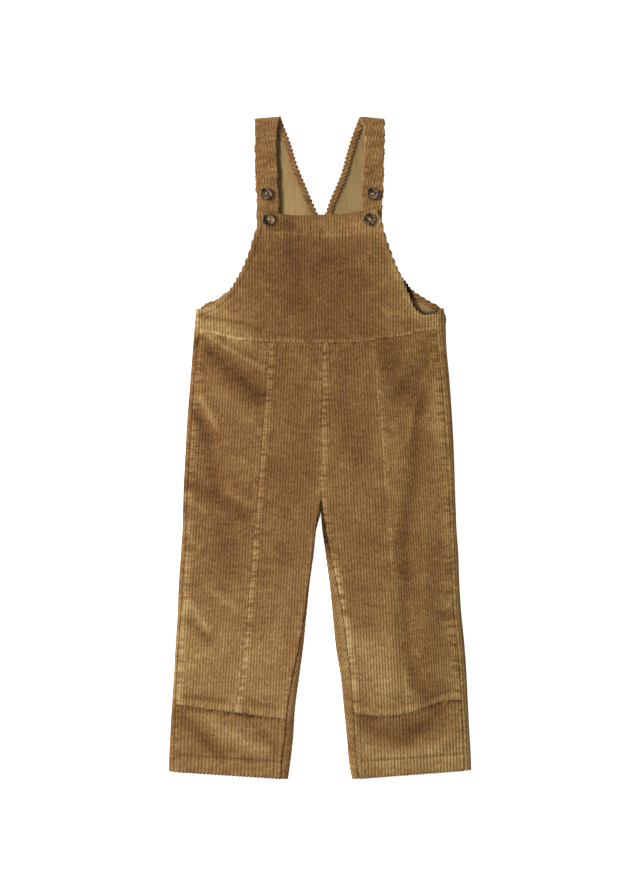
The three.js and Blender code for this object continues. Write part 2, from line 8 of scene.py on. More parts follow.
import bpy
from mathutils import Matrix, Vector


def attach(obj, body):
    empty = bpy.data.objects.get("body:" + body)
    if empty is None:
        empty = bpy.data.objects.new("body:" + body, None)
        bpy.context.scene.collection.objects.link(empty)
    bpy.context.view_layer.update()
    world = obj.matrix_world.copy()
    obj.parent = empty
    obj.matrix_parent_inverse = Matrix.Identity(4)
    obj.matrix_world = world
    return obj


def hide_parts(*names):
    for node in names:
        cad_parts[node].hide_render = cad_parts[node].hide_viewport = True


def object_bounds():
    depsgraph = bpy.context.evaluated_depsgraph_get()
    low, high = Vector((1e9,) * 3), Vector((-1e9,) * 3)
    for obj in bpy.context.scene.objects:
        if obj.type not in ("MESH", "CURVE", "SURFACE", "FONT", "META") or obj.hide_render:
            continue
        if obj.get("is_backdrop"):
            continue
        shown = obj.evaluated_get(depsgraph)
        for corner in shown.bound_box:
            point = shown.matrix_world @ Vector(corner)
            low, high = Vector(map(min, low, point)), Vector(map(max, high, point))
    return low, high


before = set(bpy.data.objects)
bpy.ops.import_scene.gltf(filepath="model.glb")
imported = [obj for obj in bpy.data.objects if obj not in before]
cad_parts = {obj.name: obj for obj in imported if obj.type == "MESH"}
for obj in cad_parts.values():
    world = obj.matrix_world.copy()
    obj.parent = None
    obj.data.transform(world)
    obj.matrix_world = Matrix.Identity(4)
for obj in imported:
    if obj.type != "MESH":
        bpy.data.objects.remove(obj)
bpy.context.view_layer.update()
print("solids:", len(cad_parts))

# %% Libraries and units
import math

import bpy
import numpy as np

MM = 0.001


def deselect_all():
    bpy.ops.object.select_all(action="DESELECT")


# %% [markdown]
# ## Camera, light and floor
#
# A flat lay is photographed from a stand, so the camera looks straight down and needs no turn.
# A long lens keeps the edges of the garment from leaning outward. The main light stands low at
# the left, because corduroy only shows its ridges when light grazes them. A wide light above
# and a pale room lift the shadows. The floor is white paper on a light table: it glows a
# little, which takes the shadows round the garment away.

# %% Camera
CAMERA_HEIGHT = 2.365
LENS = 90

deselect_all()
bpy.ops.object.camera_add(location=(0, 0, CAMERA_HEIGHT), rotation=(0, 0, 0))
camera = bpy.context.object
camera.name = "camera"
camera.data.lens = LENS
camera.data.sensor_width = 36
bpy.context.scene.camera = camera
bpy.context.scene.view_settings.view_transform = "Standard"
print("camera height", CAMERA_HEIGHT)


# %% Lights and room
def area_light(name, place, aim, size, power, colour):
    """A square soft light that shines from a place toward an aim point, in metres."""
    deselect_all()
    bpy.ops.object.light_add(type="AREA", location=place)
    light = bpy.context.object
    light.name = name
    light.data.size = size
    light.data.energy = power
    light.data.color = colour
    away = light.location - type(light.location)(aim)
    light.rotation_euler = away.to_track_quat("Z", "Y").to_euler()
    return light


area_light("key_light", (-1.9, 0.85, 1.25), (0, 0, 0), 0.5, 76, (1.0, 0.98, 0.95))
area_light("top_light", (-0.3, 0.3, 3.2), (0, 0, 0), 2.2, 30, (0.98, 0.99, 1.0))
world = bpy.data.worlds.new("pale_room")
bpy.context.scene.world = world
world.use_nodes = True
world.node_tree.nodes["Background"].inputs["Color"].default_value = (1.0, 0.98, 0.95, 1)
world.node_tree.nodes["Background"].inputs["Strength"].default_value = 0.2


# %% Floor
def new_material(name):
    material = bpy.data.materials.new(name)
    material.use_nodes = True
    return material, material.node_tree.nodes, material.node_tree.links


deselect_all()
bpy.ops.mesh.primitive_plane_add(size=8, location=(0, 0, -0.0004))
floor = bpy.context.object
floor.name = "floor"
paper, nodes, links = new_material("white_paper")
paper_shader = nodes["Principled BSDF"]
paper_shader.inputs["Base Color"].default_value = (0.9, 0.9, 0.9, 1)
paper_shader.inputs["Roughness"].default_value = 0.9
paper_shader.inputs["Specular IOR Level"].default_value = 0.1
paper_shader.inputs["Emission Color"].default_value = (1, 1, 1, 1)
paper_shader.inputs["Emission Strength"].default_value = 0.8
floor.data.materials.append(paper)
floor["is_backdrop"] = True

# %% [markdown]
# ## Sizes of the garment
#
# Everything below is in millimetres, with the same names and the same numbers as the solid
# model. Each table follows one seam or edge: a garment is drawn by its seams, and the cloth
# between them is only stretched from one to the next.

# %% Cloth sizes
CLOTH = 1.2
WALE = 0.34
WALE_PITCH = 3.1
CRUSHED_PITCH = 2.65
BACK_CLOTH = 1.5
HEM_CLOTH = 1.4
GAP = 0.3
SEAM_GAP = 0.08
FRONT_TOP = 5.6
HEM_UNDER = BACK_CLOTH + GAP
STRAP_UNDER = HEM_UNDER + HEM_CLOTH + GAP
STRAP_TOP = STRAP_UNDER + CLOTH
BIB_OVER_STRAP = 6.85
HEM_RISE = 0.45
ROLL = 3.5
LEG_HEM = 18
NECK_HEM = 6.6
ARMHOLE_HEM = 6.2

# %% Edges and seams of the legs, by height
LEG_COLUMNS = ["y", "leftEdge", "leftSide", "leftPrincess", "leftCentre", "leftInner",
               "rightInner", "rightCentre", "rightPrincess", "rightSide", "rightEdge"]
LEGS = [
    (125.4, -132.5, -126.7, -52.3, 3.2, 3.2, 3.2, 3.2, 56.0, 122.5, 132.5),
    (111.7, -133.6, -128.3, -52.8, 3.2, 3.2, 3.2, 3.2, 56.0, 124.1, 133.0),
    (72, -136.6, -131.8, -55.8, 2.7, 2.7, 2.7, 2.7, 59.8, 128.2, 136.5),
    (32, -139.7, -135.0, -58.9, 2.3, 2.3, 2.3, 2.3, 64.5, 131.5, 139.2),
    (-10, -142.1, -137.4, -62.3, 1.9, 1.9, 1.9, 1.9, 68.0, 134.6, 141.2),
    (-52, -144.2, -139.4, -65.8, 1.2, 1.1, 1.2, 1.2, 70.9, 136.8, 142.6),
    (-60, -144.4, -139.7, -66.4, -0.6, 1.08, 1.12, 2.7, 71.3, 137.1, 142.9),
    (-68, -144.5, -139.9, -67.0, -2.0, 0.6, 1.2, 3.8, 71.7, 137.2, 143.2),
    (-81.6, -144.6, -140.4, -68.1, -4.4, -3.2, 2.1, 5.8, 72.3, 137.5, 143.6),
    (-113, -146.7, -142.0, -70.9, -8.4, -7.2, 6.3, 11.6, 75.5, 138.8, 145.7),
    (-145, -148.9, -144.1, -73.9, -12.8, -11.6, 10.6, 18.5, 78.4, 139.9, 146.8),
    (-177, -150.0, -146.3, -76.4, -17.2, -14.8, 13.8, 24.5, 83.5, 141.5, 148.9),
    (-208, -152.0, -148.3, -79.2, -22.3, -17.9, 16.9, 28.5, 87.1, 144.6, 152.0),
    (-240, -153.6, -150.5, -82.4, -29.3, -22.2, 22.2, 32.7, 89.4, 147.3, 154.2),
    (-271.6, -155.7, -151.7, -88.7, -34.5, -26.4, 25.3, 35.2, 92.9, 148.9, 155.7),
    (-303, -157.8, -152.6, -91.8, -37.7, -28.5, 28.5, 37.3, 95.0, 151.0, 157.3),
    (-332, -159.1, -153.1, -94.0, -40.9, -31.9, 31.3, 39.1, 97.1, 152.0, 158.9),
    (-350, -159.4, -153.4, -95.0, -41.9, -34.5, 34.8, 41.7, 98.2, 152.6, 159.4),
]
CROTCH = -60
CENTRE = 3.2

# %% Edges and seams of the top, by height
BODICE_COLUMNS = ["y", "leftEdge", "leftSide", "rightSide", "rightEdge"]
BODICE_SIDES = [
    (111.7, -133.6, -126.7, 122.5, 133.0),
    (125.4, -132.5, -126.7, 122.5, 132.5),
    (147.5, -130.2, -126.7, 122.5, 130.4),
]
BACK_LEFT = [
    (111.7, -130.0), (147.5, -126.2), (150.2, -123.5), (153.9, -117.5), (156.0, -110.9),
    (159.2, -105.6), (164.4, -99.8), (172.9, -92.4), (182.4, -86.6), (191.9, -81.8),
    (200.3, -78.7), (217.2, -73.4), (234.1, -69.2), (242.6, -68.6), (350, -69.2),
]
BACK_RIGHT = [
    (111.7, 129.0), (147.5, 127.5), (150.2, 124.5), (154.2, 116.7), (159.2, 108.7),
    (163.9, 101.0), (168.8, 95.2), (174.7, 91.2), (178.6, 87.3), (185.6, 83.4),
    (194.0, 79.2), (210.9, 72.9), (219.3, 69.7), (229.9, 68.0), (242.6, 66.8), (350, 68.1),
]
NECK_LEFT = [
    (238.3, 1.3), (241.5, -0.5), (248.4, -3.3), (265.4, -10.6), (278.2, -16.0),
    (293.7, -22.4), (305.9, -26.6), (322.8, -31.7), (336.1, -37.0), (344.5, -40.2),
    (350, -41.2),
]
NECK_RIGHT = [
    (238.3, 0.8), (241.5, 3.2), (246.3, 5.3), (262.6, 11.0), (275.9, 16.9), (291.6, 23.0),
    (304.2, 26.4), (321.2, 31.1), (330.4, 34.3), (344.5, 39.8), (350, 41.7),
]
HEM_TOP_ROW = 344.5
STRAP_LEFT = [
    (217.2, -64.9, -40.6), (248.9, -66.5, -42.2), (281.6, -68.6, -43.6),
    (340.8, -69.2, -43.4), (350, -69.2, -41.2),
]
STRAP_RIGHT = [
    (217.2, 64.4, 41.7), (253.1, 66.1, 43.3), (288.0, 67.6, 44.3), (341.8, 68.4, 44.3),
    (350, 68.1, 41.7),
]
STRAP_END = 217.2
SHOULDER = 349.9
SHOULDER_SLOPE = 0.095
STRAP_NECK_X = 41.5

# %% Lines across the garment, as x and height
WAIST = [
    (-137.3, 123.8), (-124.6, 122.7), (-117.2, 120.9), (-108.7, 119.6), (-99.2, 116.2),
    (-90.8, 114.6), (-72.9, 113.0), (-54.9, 111.7), (0.0, 111.2), (53.8, 113.0),
    (63.3, 115.0), (80.2, 117.1), (91.9, 119.0), (105.6, 122.6), (122.5, 124.3),
    (137.3, 125.4),
]
BACK_WAIST = [(-137.3, 123.2), (137.3, 124.8)]
CUFF_SEAM = [
    (-163.6, -269.5), (-151.0, -270.5), (-121.4, -274.8), (-91.9, -279.0), (-65.5, -282.7),
    (-39.1, -285.3), (-21.1, -286.4), (21.1, -277.4), (37.0, -280.1), (50.0, -282.2),
    (60.0, -283.1), (69.0, -283.2), (78.0, -282.5), (87.0, -281.0), (95.0, -279.0),
    (114.0, -272.7), (126.7, -268.4), (146.8, -265.3), (163.6, -264.2),
]
HEM = [(-163.6, -341.3), (-34.8, -349.7), (34.8, -349.7), (163.6, -339.9)]
BIB_ARMHOLE_LEFT = [
    (-128.8, 146.7), (-123.5, 147.5), (-118.5, 149.2), (-113.6, 151.2), (-109.3, 154.6),
    (-105.6, 158.1), (-100.9, 161.9), (-94.6, 168.8), (-88.7, 178.6), (-82.4, 190.3),
    (-79.0, 198.2), (-75.5, 206.9), (-72.6, 217.7), (-69.7, 225.7), (-67.3, 234.1),
    (-65.5, 242.6), (-63.3, 249.4),
]
BIB_TOP = [
    (-63.3, 249.4), (-46.5, 247.8), (-31.7, 245.7), (0.0, 246.3), (26.4, 247.3),
    (44.3, 250.0), (60.2, 252.1),
]
BIB_ARMHOLE_RIGHT = [
    (60.2, 252.1), (64.1, 242.6), (67.4, 233.1), (69.7, 223.6), (71.8, 217.2), (75.0, 208.8),
    (78.1, 200.3), (81.3, 191.9), (85.4, 183.4), (89.3, 175.6), (91.7, 167.8),
    (95.2, 161.0), (97.1, 155.1), (99.6, 149.2), (103.0, 145.4), (107.0, 142.0),
    (110.9, 140.5), (116.7, 141.0), (124.6, 142.0),
]

# %% [markdown]
# ## Helpers
#
# A seam is a soft curve, so the rows of a table are joined by a smooth curve and not by
# straight lines. Uneven things such as puckers come from seeded random numbers that are
# blended softly, so that each run gives the same garment.


# %% Smooth curves and soft steps
def smooth(table, column=1):
    """A soft curve through the rows of a table, as a function of its first column."""
    rows = np.array(sorted(table), float)
    keys, values = rows[:, 0], rows[:, column]
    slopes = np.gradient(values, keys)

    def curve(key):
        key = np.asarray(key, float)
        inside = np.clip(key, keys[0], keys[-1])
        k = np.clip(np.searchsorted(keys, inside) - 1, 0, len(keys) - 2)
        step = keys[k + 1] - keys[k]
        s = (inside - keys[k]) / step
        start = values[k] * (2 * s**3 - 3 * s**2 + 1) + slopes[k] * step * (s**3 - 2 * s**2 + s)
        end = values[k + 1] * (3 * s**2 - 2 * s**3) + slopes[k + 1] * step * (s**3 - s**2)
        beyond = key - inside
        return start + end + beyond * np.where(beyond < 0, slopes[0], slopes[-1])

    return curve


def soft_step(value, start, end):
    s = np.clip((value - start) / (end - start), 0, 1)
    return s * s * (3 - 2 * s)


leg = {name: smooth(LEGS, k) for k, name in enumerate(LEG_COLUMNS) if k}
side = {name: smooth(BODICE_SIDES, k) for k, name in enumerate(BODICE_COLUMNS) if k}
waist_line, cuff_line = smooth(WAIST), smooth(CUFF_SEAM)
print("waist at the middle", float(waist_line(0)))


def hem_line(x):
    return np.interp(x, [row[0] for row in HEM], [row[1] for row in HEM])


def back_waist_line(x):
    straight = np.interp(x, [row[0] for row in BACK_WAIST], [row[1] for row in BACK_WAIST])
    return np.where(np.abs(x) < 126.5, straight, waist_line(x))


# %% Uneven cloth
def unevenness(seed, size):
    """Soft random rise and fall from -1 to 1. Its bumps lie about two sizes apart."""
    count = 128
    values = np.random.default_rng(seed).uniform(-1, 1, (count, count))

    def noise(x, y=0.0):
        x, y = np.broadcast_arrays(np.asarray(x, float) / size, np.asarray(y, float) / size)
        i, j = np.floor(x).astype(int), np.floor(y).astype(int)
        u, v = x - i, y - j
        u, v = u * u * (3 - 2 * u), v * v * (3 - 2 * v)
        a, b = values[i % count, j % count], values[(i + 1) % count, j % count]
        c, d = values[i % count, (j + 1) % count], values[(i + 1) % count, (j + 1) % count]
        return (a * (1 - u) + b * u) * (1 - v) + (c * (1 - u) + d * u) * v

    return noise


def distance_to(line, x, y):
    """Distance of each point from a line of points."""
    nearest = np.full(np.shape(x), 1e6)
    for (x1, y1), (x2, y2) in zip(line[:-1], line[1:]):
        dx, dy = x2 - x1, y2 - y1
        along = np.clip(((x - x1) * dx + (y - y1) * dy) / (dx * dx + dy * dy), 0, 1)
        nearest = np.minimum(nearest, np.hypot(x - x1 - along * dx, y - y1 - along * dy))
    return nearest


# %% [markdown]
# ## Creases
#
# Cloth that was folded and put down keeps soft troughs and ridges. Each one is a row of a
# table: its half width, its rise, which is negative for a trough, and its path. The long ones
# are in the solid model too. The short ones are this lesson's own.

# %% Table of creases
# Half width, rise, then the points of its path.
CREASES = [
    # side panel of the left leg
    (3.2, 1.0, -125, 122, -59, 83), (9, -1.2, -126, 110, -62, 54), (6, 0.5, -116, 74, -72, 30),
    (2.5, 0.65, -120, 122, -85, 114, -58, 99), (2.2, -0.5, -98, 109, -60, 91),
    (4.5, 1.4, -124, 52, -108, 22), (5, -0.8, -130, 36, -116, 8), (8, -0.8, -118, 10, -110, -45),
    (9, -0.8, -138, -38, -76, -72), (4, 0.7, -96, -45, -72, -60), (4, 0.8, -142, -48, -120, -66),
    (5, 0.8, -142, -84, -127, -106), (4, -0.6, -136, -104, -122, -112),
    (3.5, 0.6, -120, -146, -88, -169), (5, 1.1, -137, -162, -117, -191),
    (5, -0.9, -138, -182, -114, -204), (4, 0.4, -140, -212, -120, -222),
    (2.6, -0.8, -142, -262, -100, -268), (14, -0.6, -100, -85, -90, -130),
    # centre panels
    (16, -0.35, -45, 95, -10, 20), (14, -0.4, -38, -10, -42, -50), (2.6, -0.7, -75, -266, -45, -276),
    (14, -0.8, 25, 45, 45, -10), (5, 0.3, 12, -45, 48, -60), (14, 0.5, 45, -205, 70, -250),
    # side panel of the right leg
    (10, -0.8, 66, 106, 84, 60), (9, -0.7, 118, 112, 90, 66), (8, 0.3, 100, 100, 88, 78),
    (4, 0.7, 120, 96, 99, 40, 94, 10), (7, -0.3, 88, -104, 90, -136), (2.5, -0.5, 113, -266, 139, -255),
    (7, -0.9, 119, 92, 108, 71, 103, 22, 100, -26, 95, -56, 89, -100, 92, -140, 89, -161,
     91, -217, 104, -252, 118, -270),
    (7, 0.4, 80, 20, 82, -40, 74, -110, 74, -190, 76, -240), (5, 0.3, 122, 60, 124, -20),
    (5, 0.3, 112, -60, 110, -130, 112, -200), (3.5, -0.6, 112, -168, 130, -176),
    # leg bands
    (8, -1.1, 48, -289, 66, -298, 92, -306, 112, -294, 126, -278), (12, -0.8, 96, -292, 104, -290),
    (6, 0.5, 48, -316, 80, -326, 120, -318, 140, -302), (7, -1.4, -150, -281, -102, -325),
    (7, 1.0, -116, -287, -58, -322), (5, -0.8, -76, -284, -46, -316), (2.5, -0.5, -140, -277, -60, -284),
    # bib
    (11, -0.5, -32, 205, -28, 158), (16, -0.3, -62, 215, -60, 160), (22, -0.4, 20, 195, 45, 170),
    (18, -0.2, 0, 150, 0, 125), (2.4, -0.9, -131, 139, -84, 132, -62, 124),
    (3, 0.4, -110, 147, -88, 139), (3.2, 0.5, -127, 132, -95, 125), (3, -0.4, 78, 132, 112, 127),
    (3, 0.3, 70, 144, 104, 138), (3, 0.3, -53.8, 226, -56, 205), (3, 0.3, -45, 232, -36, 214),
    (3, 0.3, 52.3, 226, 54, 205), (3, 0.3, 43, 232, 36, 214),
]


def crease_height(x, y, table):
    height = np.zeros(np.shape(x))
    for width, rise, *path in table:
        away = distance_to(list(zip(path[::2], path[1::2])), x, y)
        height += rise * np.exp(-(away / width) ** 2)
    return height


WRINKLE_LENGTH, WRINKLE_WIDTH = 12.0, 2.6
wrinkle_noise = unevenness(16, WRINKLE_LENGTH)


def wrinkles(x, y):
    """Fine creases across the legs, from -1 to 1."""
    return wrinkle_noise(x + 0.2 * y, y * WRINKLE_LENGTH / WRINKLE_WIDTH)


broad_swell = unevenness(11, 34)
small_swell = unevenness(12, 9)


def front_cloth(x, y):
    """Top of the front cloth between its wales."""
    swell = 0.28 * broad_swell(x, 0.6 * y) + 0.12 * small_swell(x, 0.5 * y)
    return FRONT_TOP + crease_height(x, y, CREASES) + swell + 0.08 * wrinkles(x, y)


# %% [markdown]
# ## Wales
#
# The ridges of corduroy are wales. They run straight along the grain of each cut piece, all
# the same distance apart, and the seams cut them off. So each point gets a running number of
# wales, which says where on a ridge it lies. The mesh takes its ridges from that number, and
# so does the material, which paints shade in the grooves and keeps them sharp on a coarse mesh.

# %% Wale number and height
waver = unevenness(13, 22)
jitter = unevenness(17, 5)


def wale_number(x, y, lean=0.0, pitch=WALE_PITCH):
    """How many wales lie left of a point. Lean is how far the grain moves in x per y."""
    return (x - lean * y + 0.45 * waver(x, 0.3 * y) + 0.22 * jitter(x, 0.5 * y)) / pitch


def wale_height(number):
    """Broad ridges with narrow grooves between them, from 0 to the height of a wale."""
    return WALE * (1 - np.cos(np.pi * number) ** 4)


def scallop(number):
    """1 in the grooves and 0 on the ridges: how far an edge draws in between its wales."""
    return 1 - np.abs(np.sin(np.pi * number))


# %% [markdown]
# Beside a seam the cloth dips, the allowance underneath lifts it, and the sewing thread
# gathers it into small puckers.

# %% Relief beside a seam
SEAM_SHARPNESS = 0.9
PUCKER_SIZE = 3.3


def puffs_along(seed, size, along, across):
    """Soft puffs with narrow creases between them, from -1 to 1."""
    crossing = np.abs(unevenness(seed, size)(along, across))
    return 2 * soft_step(crossing, 0.0, 0.5) - 1


def seam_relief(away, along, seed, band):
    """Height and tone of the cloth beside a seam: a paler band, partly pressed pile and partly
    painted light on the raised allowance, painted shade in the dip and painted light and shade on
    the puckers. A band is how deep the seam is, how high the allowance lifts the cloth, how far it
    reaches, its puckers and its paleness."""
    depth, rise, reach, pucker, pale = band
    dip = -depth * np.exp(-(away / SEAM_SHARPNESS) ** 2)
    lifted = soft_step(away, 0.2, 4.0) * (1 - soft_step(away, reach - 1.5, reach + 1.5))
    fade = np.exp(-(away / (0.85 * reach)) ** 4)
    puffs = puffs_along(seed, PUCKER_SIZE, along, 0.12 * away) * fade
    # Painted light on the puffs, painted shade between them and in the seam's dip.
    tone = pale * fade + 0.36 * pucker * puffs - 0.45 * depth * np.exp(-(away / 0.9) ** 2)
    return dip + rise * lifted + 0.7 * pucker * puffs, tone


# %% [markdown]
# ## Closed walls of cloth
#
# Each piece of cloth is a closed wall: a fine net of points for the face that shows, a
# coarser net for the face behind it, and a rim that joins them. Only the fine net carries the
# wales, so the file stays light.

# %% Walls and pieces
INNER_STEP = 6


def wall(outer, inner_of, number, tone, inner_step=INNER_STEP):
    """A closed wall from a net of outer points. inner_of gives the net behind the chosen
    columns. number and tone are the wale number and the tone of each outer point."""
    rows, columns = outer.shape[0] - 1, outer.shape[1] - 1
    marks = [*range(0, columns, inner_step), columns]
    inner = inner_of[:, marks]
    top = np.arange((rows + 1) * (columns + 1)).reshape(rows + 1, columns + 1)
    under = top.size + np.arange((rows + 1) * len(marks)).reshape(rows + 1, len(marks))

    def quads(a, b, c, d):
        return np.stack([a.ravel(), b.ravel(), c.ravel(), d.ravel()], axis=1).tolist()

    shown = quads(top[:-1, :-1], top[:-1, 1:], top[1:, 1:], top[1:, :-1])
    rim = quads(top[:-1, 0], top[1:, 0], under[1:, 0], under[:-1, 0])
    rim += quads(top[1:, -1], top[:-1, -1], under[:-1, -1], under[1:, -1])
    for m, (start, end) in enumerate(zip(marks[:-1], marks[1:])):
        near = top[0, start:end + 1][::-1].tolist()
        far = top[-1, start:end + 1].tolist()
        rim.append([*near, int(under[0, m]), int(under[0, m + 1])])
        rim.append([*far, int(under[-1, m + 1]), int(under[-1, m])])
    behind = quads(under[:-1, :-1], under[1:, :-1], under[1:, 1:], under[:-1, 1:])
    points = np.concatenate([outer.reshape(-1, 3), inner.reshape(-1, 3)])
    faces = shown + rim + behind
    first, second, third = (points[[face[k] for face in faces]] for k in range(3))
    last = points[[face[-1] for face in faces]]
    volume = np.einsum("ij,ij->", first, np.cross(second, third))
    volume += np.einsum("ij,ij->", first, np.cross(third, last))
    if volume < 0:
        faces = [face[::-1] for face in faces]
    slots = [0] * (len(shown) + len(rim)) + [1] * len(behind)
    return {
        "points": points, "faces": faces, "slots": slots,
        "wale": np.concatenate([number.ravel(), number[:, marks].ravel()]),
        "tone": np.concatenate([tone.ravel(), tone[:, marks].ravel()]),
    }


def smooth_piece(name, points, faces, looks, angle):
    """One object from points in millimetres. Edges below an angle in degrees look smooth."""
    mesh = bpy.data.meshes.new(name)
    mesh.from_pydata((points * MM).tolist(), [], faces)
    for look in looks:
        mesh.materials.append(look)
    piece = bpy.data.objects.new(name, mesh)
    bpy.context.scene.collection.objects.link(piece)
    deselect_all()
    piece.select_set(True)
    bpy.context.view_layer.objects.active = piece
    bpy.ops.object.shade_smooth_by_angle(angle=math.radians(angle))
    return piece


def cloth_piece(name, walls):
    """One object from closed walls: the pile on the shown faces, the weave behind them."""
    offsets = np.cumsum([0] + [len(w["points"]) for w in walls])
    faces = [[int(k + o) for k in f] for w, o in zip(walls, offsets) for f in w["faces"]]
    points = np.concatenate([w["points"] for w in walls])
    piece = smooth_piece(name, points, faces, [corduroy_look, inside_look], 60)
    for field in ("wale", "tone"):
        values = np.concatenate([w[field] for w in walls]).astype(np.float32)
        piece.data.attributes.new(field, "FLOAT", "POINT").data.foreach_set("value", values)
    slots = np.concatenate([w["slots"] for w in walls]).astype(np.int32)
    piece.data.polygons.foreach_set("material_index", slots)
    piece.data.update()
    print(name, "faces", len(faces))
    return piece


# %% [markdown]
# ## Cloth materials
#
# Corduroy is a pile of cut tufts, a little glossy from the side and ruffled here and there. The
# wale number lightens the tops of the wales and darkens the grooves in the base colour: painted
# light and painted shade over the ridges of the mesh. A noise stretched along the cloth ruffles
# the pile, and sheen gives the soft edge light. The tone of a point makes the pile lighter or
# darker over a large area: partly the lie of the pile, partly painted light and shade.


# %% Corduroy
def add_node(tree, kind, **values):
    """A node with its properties and unlinked inputs set by name."""
    node = tree.nodes.new(kind)
    for name, value in values.items():
        if name in node.inputs:
            node.inputs[name].default_value = value
        else:
            setattr(node, name, value)
    return node


def colour_ramp(tree, stops):
    ramp = tree.nodes.new("ShaderNodeValToRGB")
    while len(ramp.color_ramp.elements) < len(stops):
        ramp.color_ramp.elements.new(0.5)
    for element, (place, colour) in zip(ramp.color_ramp.elements, stops):
        element.position = place
        element.color = (*colour, 1)
    return ramp


def srgb(red, green, blue):
    """A screen colour of 0 to 255 as the linear colour that a shader needs."""
    return tuple((c / 255) ** 2.2 for c in (red, green, blue))


# The darkest stops serve the painted shade in the grooves and the painted shadows that the tone carries.
PILE_COLOURS = [
    (0.0, srgb(40, 26, 14)), (0.13, srgb(77, 51, 28)), (0.42, srgb(114, 81, 48)),
    (0.65, srgb(140, 106, 65)), (0.84, srgb(160, 129, 83)), (1.0, srgb(186, 157, 108)),
]


def start_look(name):
    """A new material, its tree and links, its shader, and the place of each point."""
    material, nodes, links = new_material(name)
    place = add_node(material.node_tree, "ShaderNodeTexCoord").outputs["Object"]
    return material, material.node_tree, links, nodes["Principled BSDF"], place


def add_relief(tree, shader, height, strength, distance):
    """A fine relief that only the light sees. Its distance is in metres."""
    bump = add_node(tree, "ShaderNodeBump", Strength=strength, Distance=distance)
    tree.links.new(height, bump.inputs["Height"])
    tree.links.new(bump.outputs["Normal"], shader.inputs["Normal"])


def corduroy(name):
    material, tree, links, shader, place = start_look(name)
    number = add_node(tree, "ShaderNodeAttribute", attribute_name="wale")
    tone = add_node(tree, "ShaderNodeAttribute", attribute_name="tone")

    def sum_of(first, factor, second):
        """first times factor plus second, where factor and second may be a number or a node."""
        node = add_node(tree, "ShaderNodeMath", operation="MULTIPLY_ADD")
        for socket, value in zip(node.inputs, (first, factor, second)):
            if isinstance(value, (int, float)):
                socket.default_value = value
            else:
                links.new(value, socket)
        return node.outputs[0]

    def noise(scale, detail, roughness, stretch):
        squeeze = add_node(tree, "ShaderNodeMapping", Scale=stretch)
        links.new(place, squeeze.inputs["Vector"])
        node = add_node(tree, "ShaderNodeTexNoise", Scale=scale, Detail=detail, Roughness=roughness)
        links.new(squeeze.outputs["Vector"], node.inputs["Vector"])
        return sum_of(node.outputs["Fac"], 1.0, -0.5)

    turn = add_node(tree, "ShaderNodeMath", operation="MULTIPLY")
    turn.inputs[1].default_value = math.pi
    links.new(number.outputs["Fac"], turn.inputs[0])
    wave = add_node(tree, "ShaderNodeMath", operation="SINE")
    links.new(turn.outputs[0], wave.inputs[0])
    ridge = add_node(tree, "ShaderNodeMath", operation="ABSOLUTE")
    links.new(wave.outputs[0], ridge.inputs[0])

    fibres = noise(1100.0, 2.0, 0.7, (1.0, 0.5, 1.0))
    tufts = noise(560.0, 2.0, 0.7, (1.0, 0.55, 1.0))
    ruffles = noise(420.0, 3.0, 0.65, (0.8, 0.7, 1.0))
    clouds = noise(75.0, 4.0, 0.65, (0.7, 1.0, 1.0))
    patches = noise(34.0, 2.0, 0.5, (1.0, 0.7, 1.0))
    blotches = sum_of(ruffles, 0.42, 0.13)
    blotches = sum_of(clouds, 0.32, blotches)
    blotches = sum_of(tufts, 0.54, blotches)
    blotches = sum_of(fibres, 0.64, blotches)
    # The tone brings the lie of the pile and painted light and shade; the blotches are the pile's own
    # mottling.
    nap_and_shade = sum_of(tone.outputs["Fac"], 0.87, blotches)
    spot = add_node(tree, "ShaderNodeSeparateXYZ")
    links.new(place, spot.inputs["Vector"])
    rightward = add_node(tree, "ShaderNodeMath", operation="MAXIMUM")
    links.new(spot.outputs["X"], rightward.inputs[0])
    rightward.inputs[1].default_value = 0.0
    # Painted light on the ridges and painted shade in the grooves, stronger to the right and in random
    # patches.
    clearness = sum_of(rightward.outputs[0], 9.0, 0.9)
    clearness = sum_of(patches, 3.0, clearness)
    depth = sum_of(nap_and_shade, 0.15, 0.045)
    depth = sum_of(depth, clearness, 0.0)
    centred = sum_of(ridge.outputs[0], 1.0, -0.66)
    level = sum_of(centred, depth, nap_and_shade)
    colours = colour_ramp(tree, PILE_COLOURS)
    links.new(level, colours.inputs["Fac"])
    tint = add_node(tree, "ShaderNodeHueSaturation")
    hue = sum_of(rightward.outputs[0], 0.045, 0.5)
    links.new(sum_of(clouds, 0.03, hue), tint.inputs["Hue"])
    tint.inputs["Saturation"].default_value = 0.985
    links.new(colours.outputs["Color"], tint.inputs["Color"])
    links.new(tint.outputs["Color"], shader.inputs["Base Color"])

    fuzz = sum_of(ridge.outputs[0], 0.2, 0.0)
    fuzz = sum_of(fibres, 0.9, fuzz)
    fuzz = sum_of(tufts, 0.9, fuzz)
    add_relief(tree, shader, fuzz, 0.4, 0.0005)
    shader.inputs["Roughness"].default_value = 0.95
    shader.inputs["Specular IOR Level"].default_value = 0.12
    shader.inputs["Sheen Weight"].default_value = 0.15
    shader.inputs["Sheen Roughness"].default_value = 0.5
    shader.inputs["Sheen Tint"].default_value = (0.9, 0.78, 0.56, 1)
    return material


corduroy_look = corduroy("brown_corduroy")
print("corduroy made")


# %% [markdown]
# The wrong side of corduroy is a plain woven cloth, paler than the pile. Two fine sets of
# threads cross in it, and it is a little mottled.

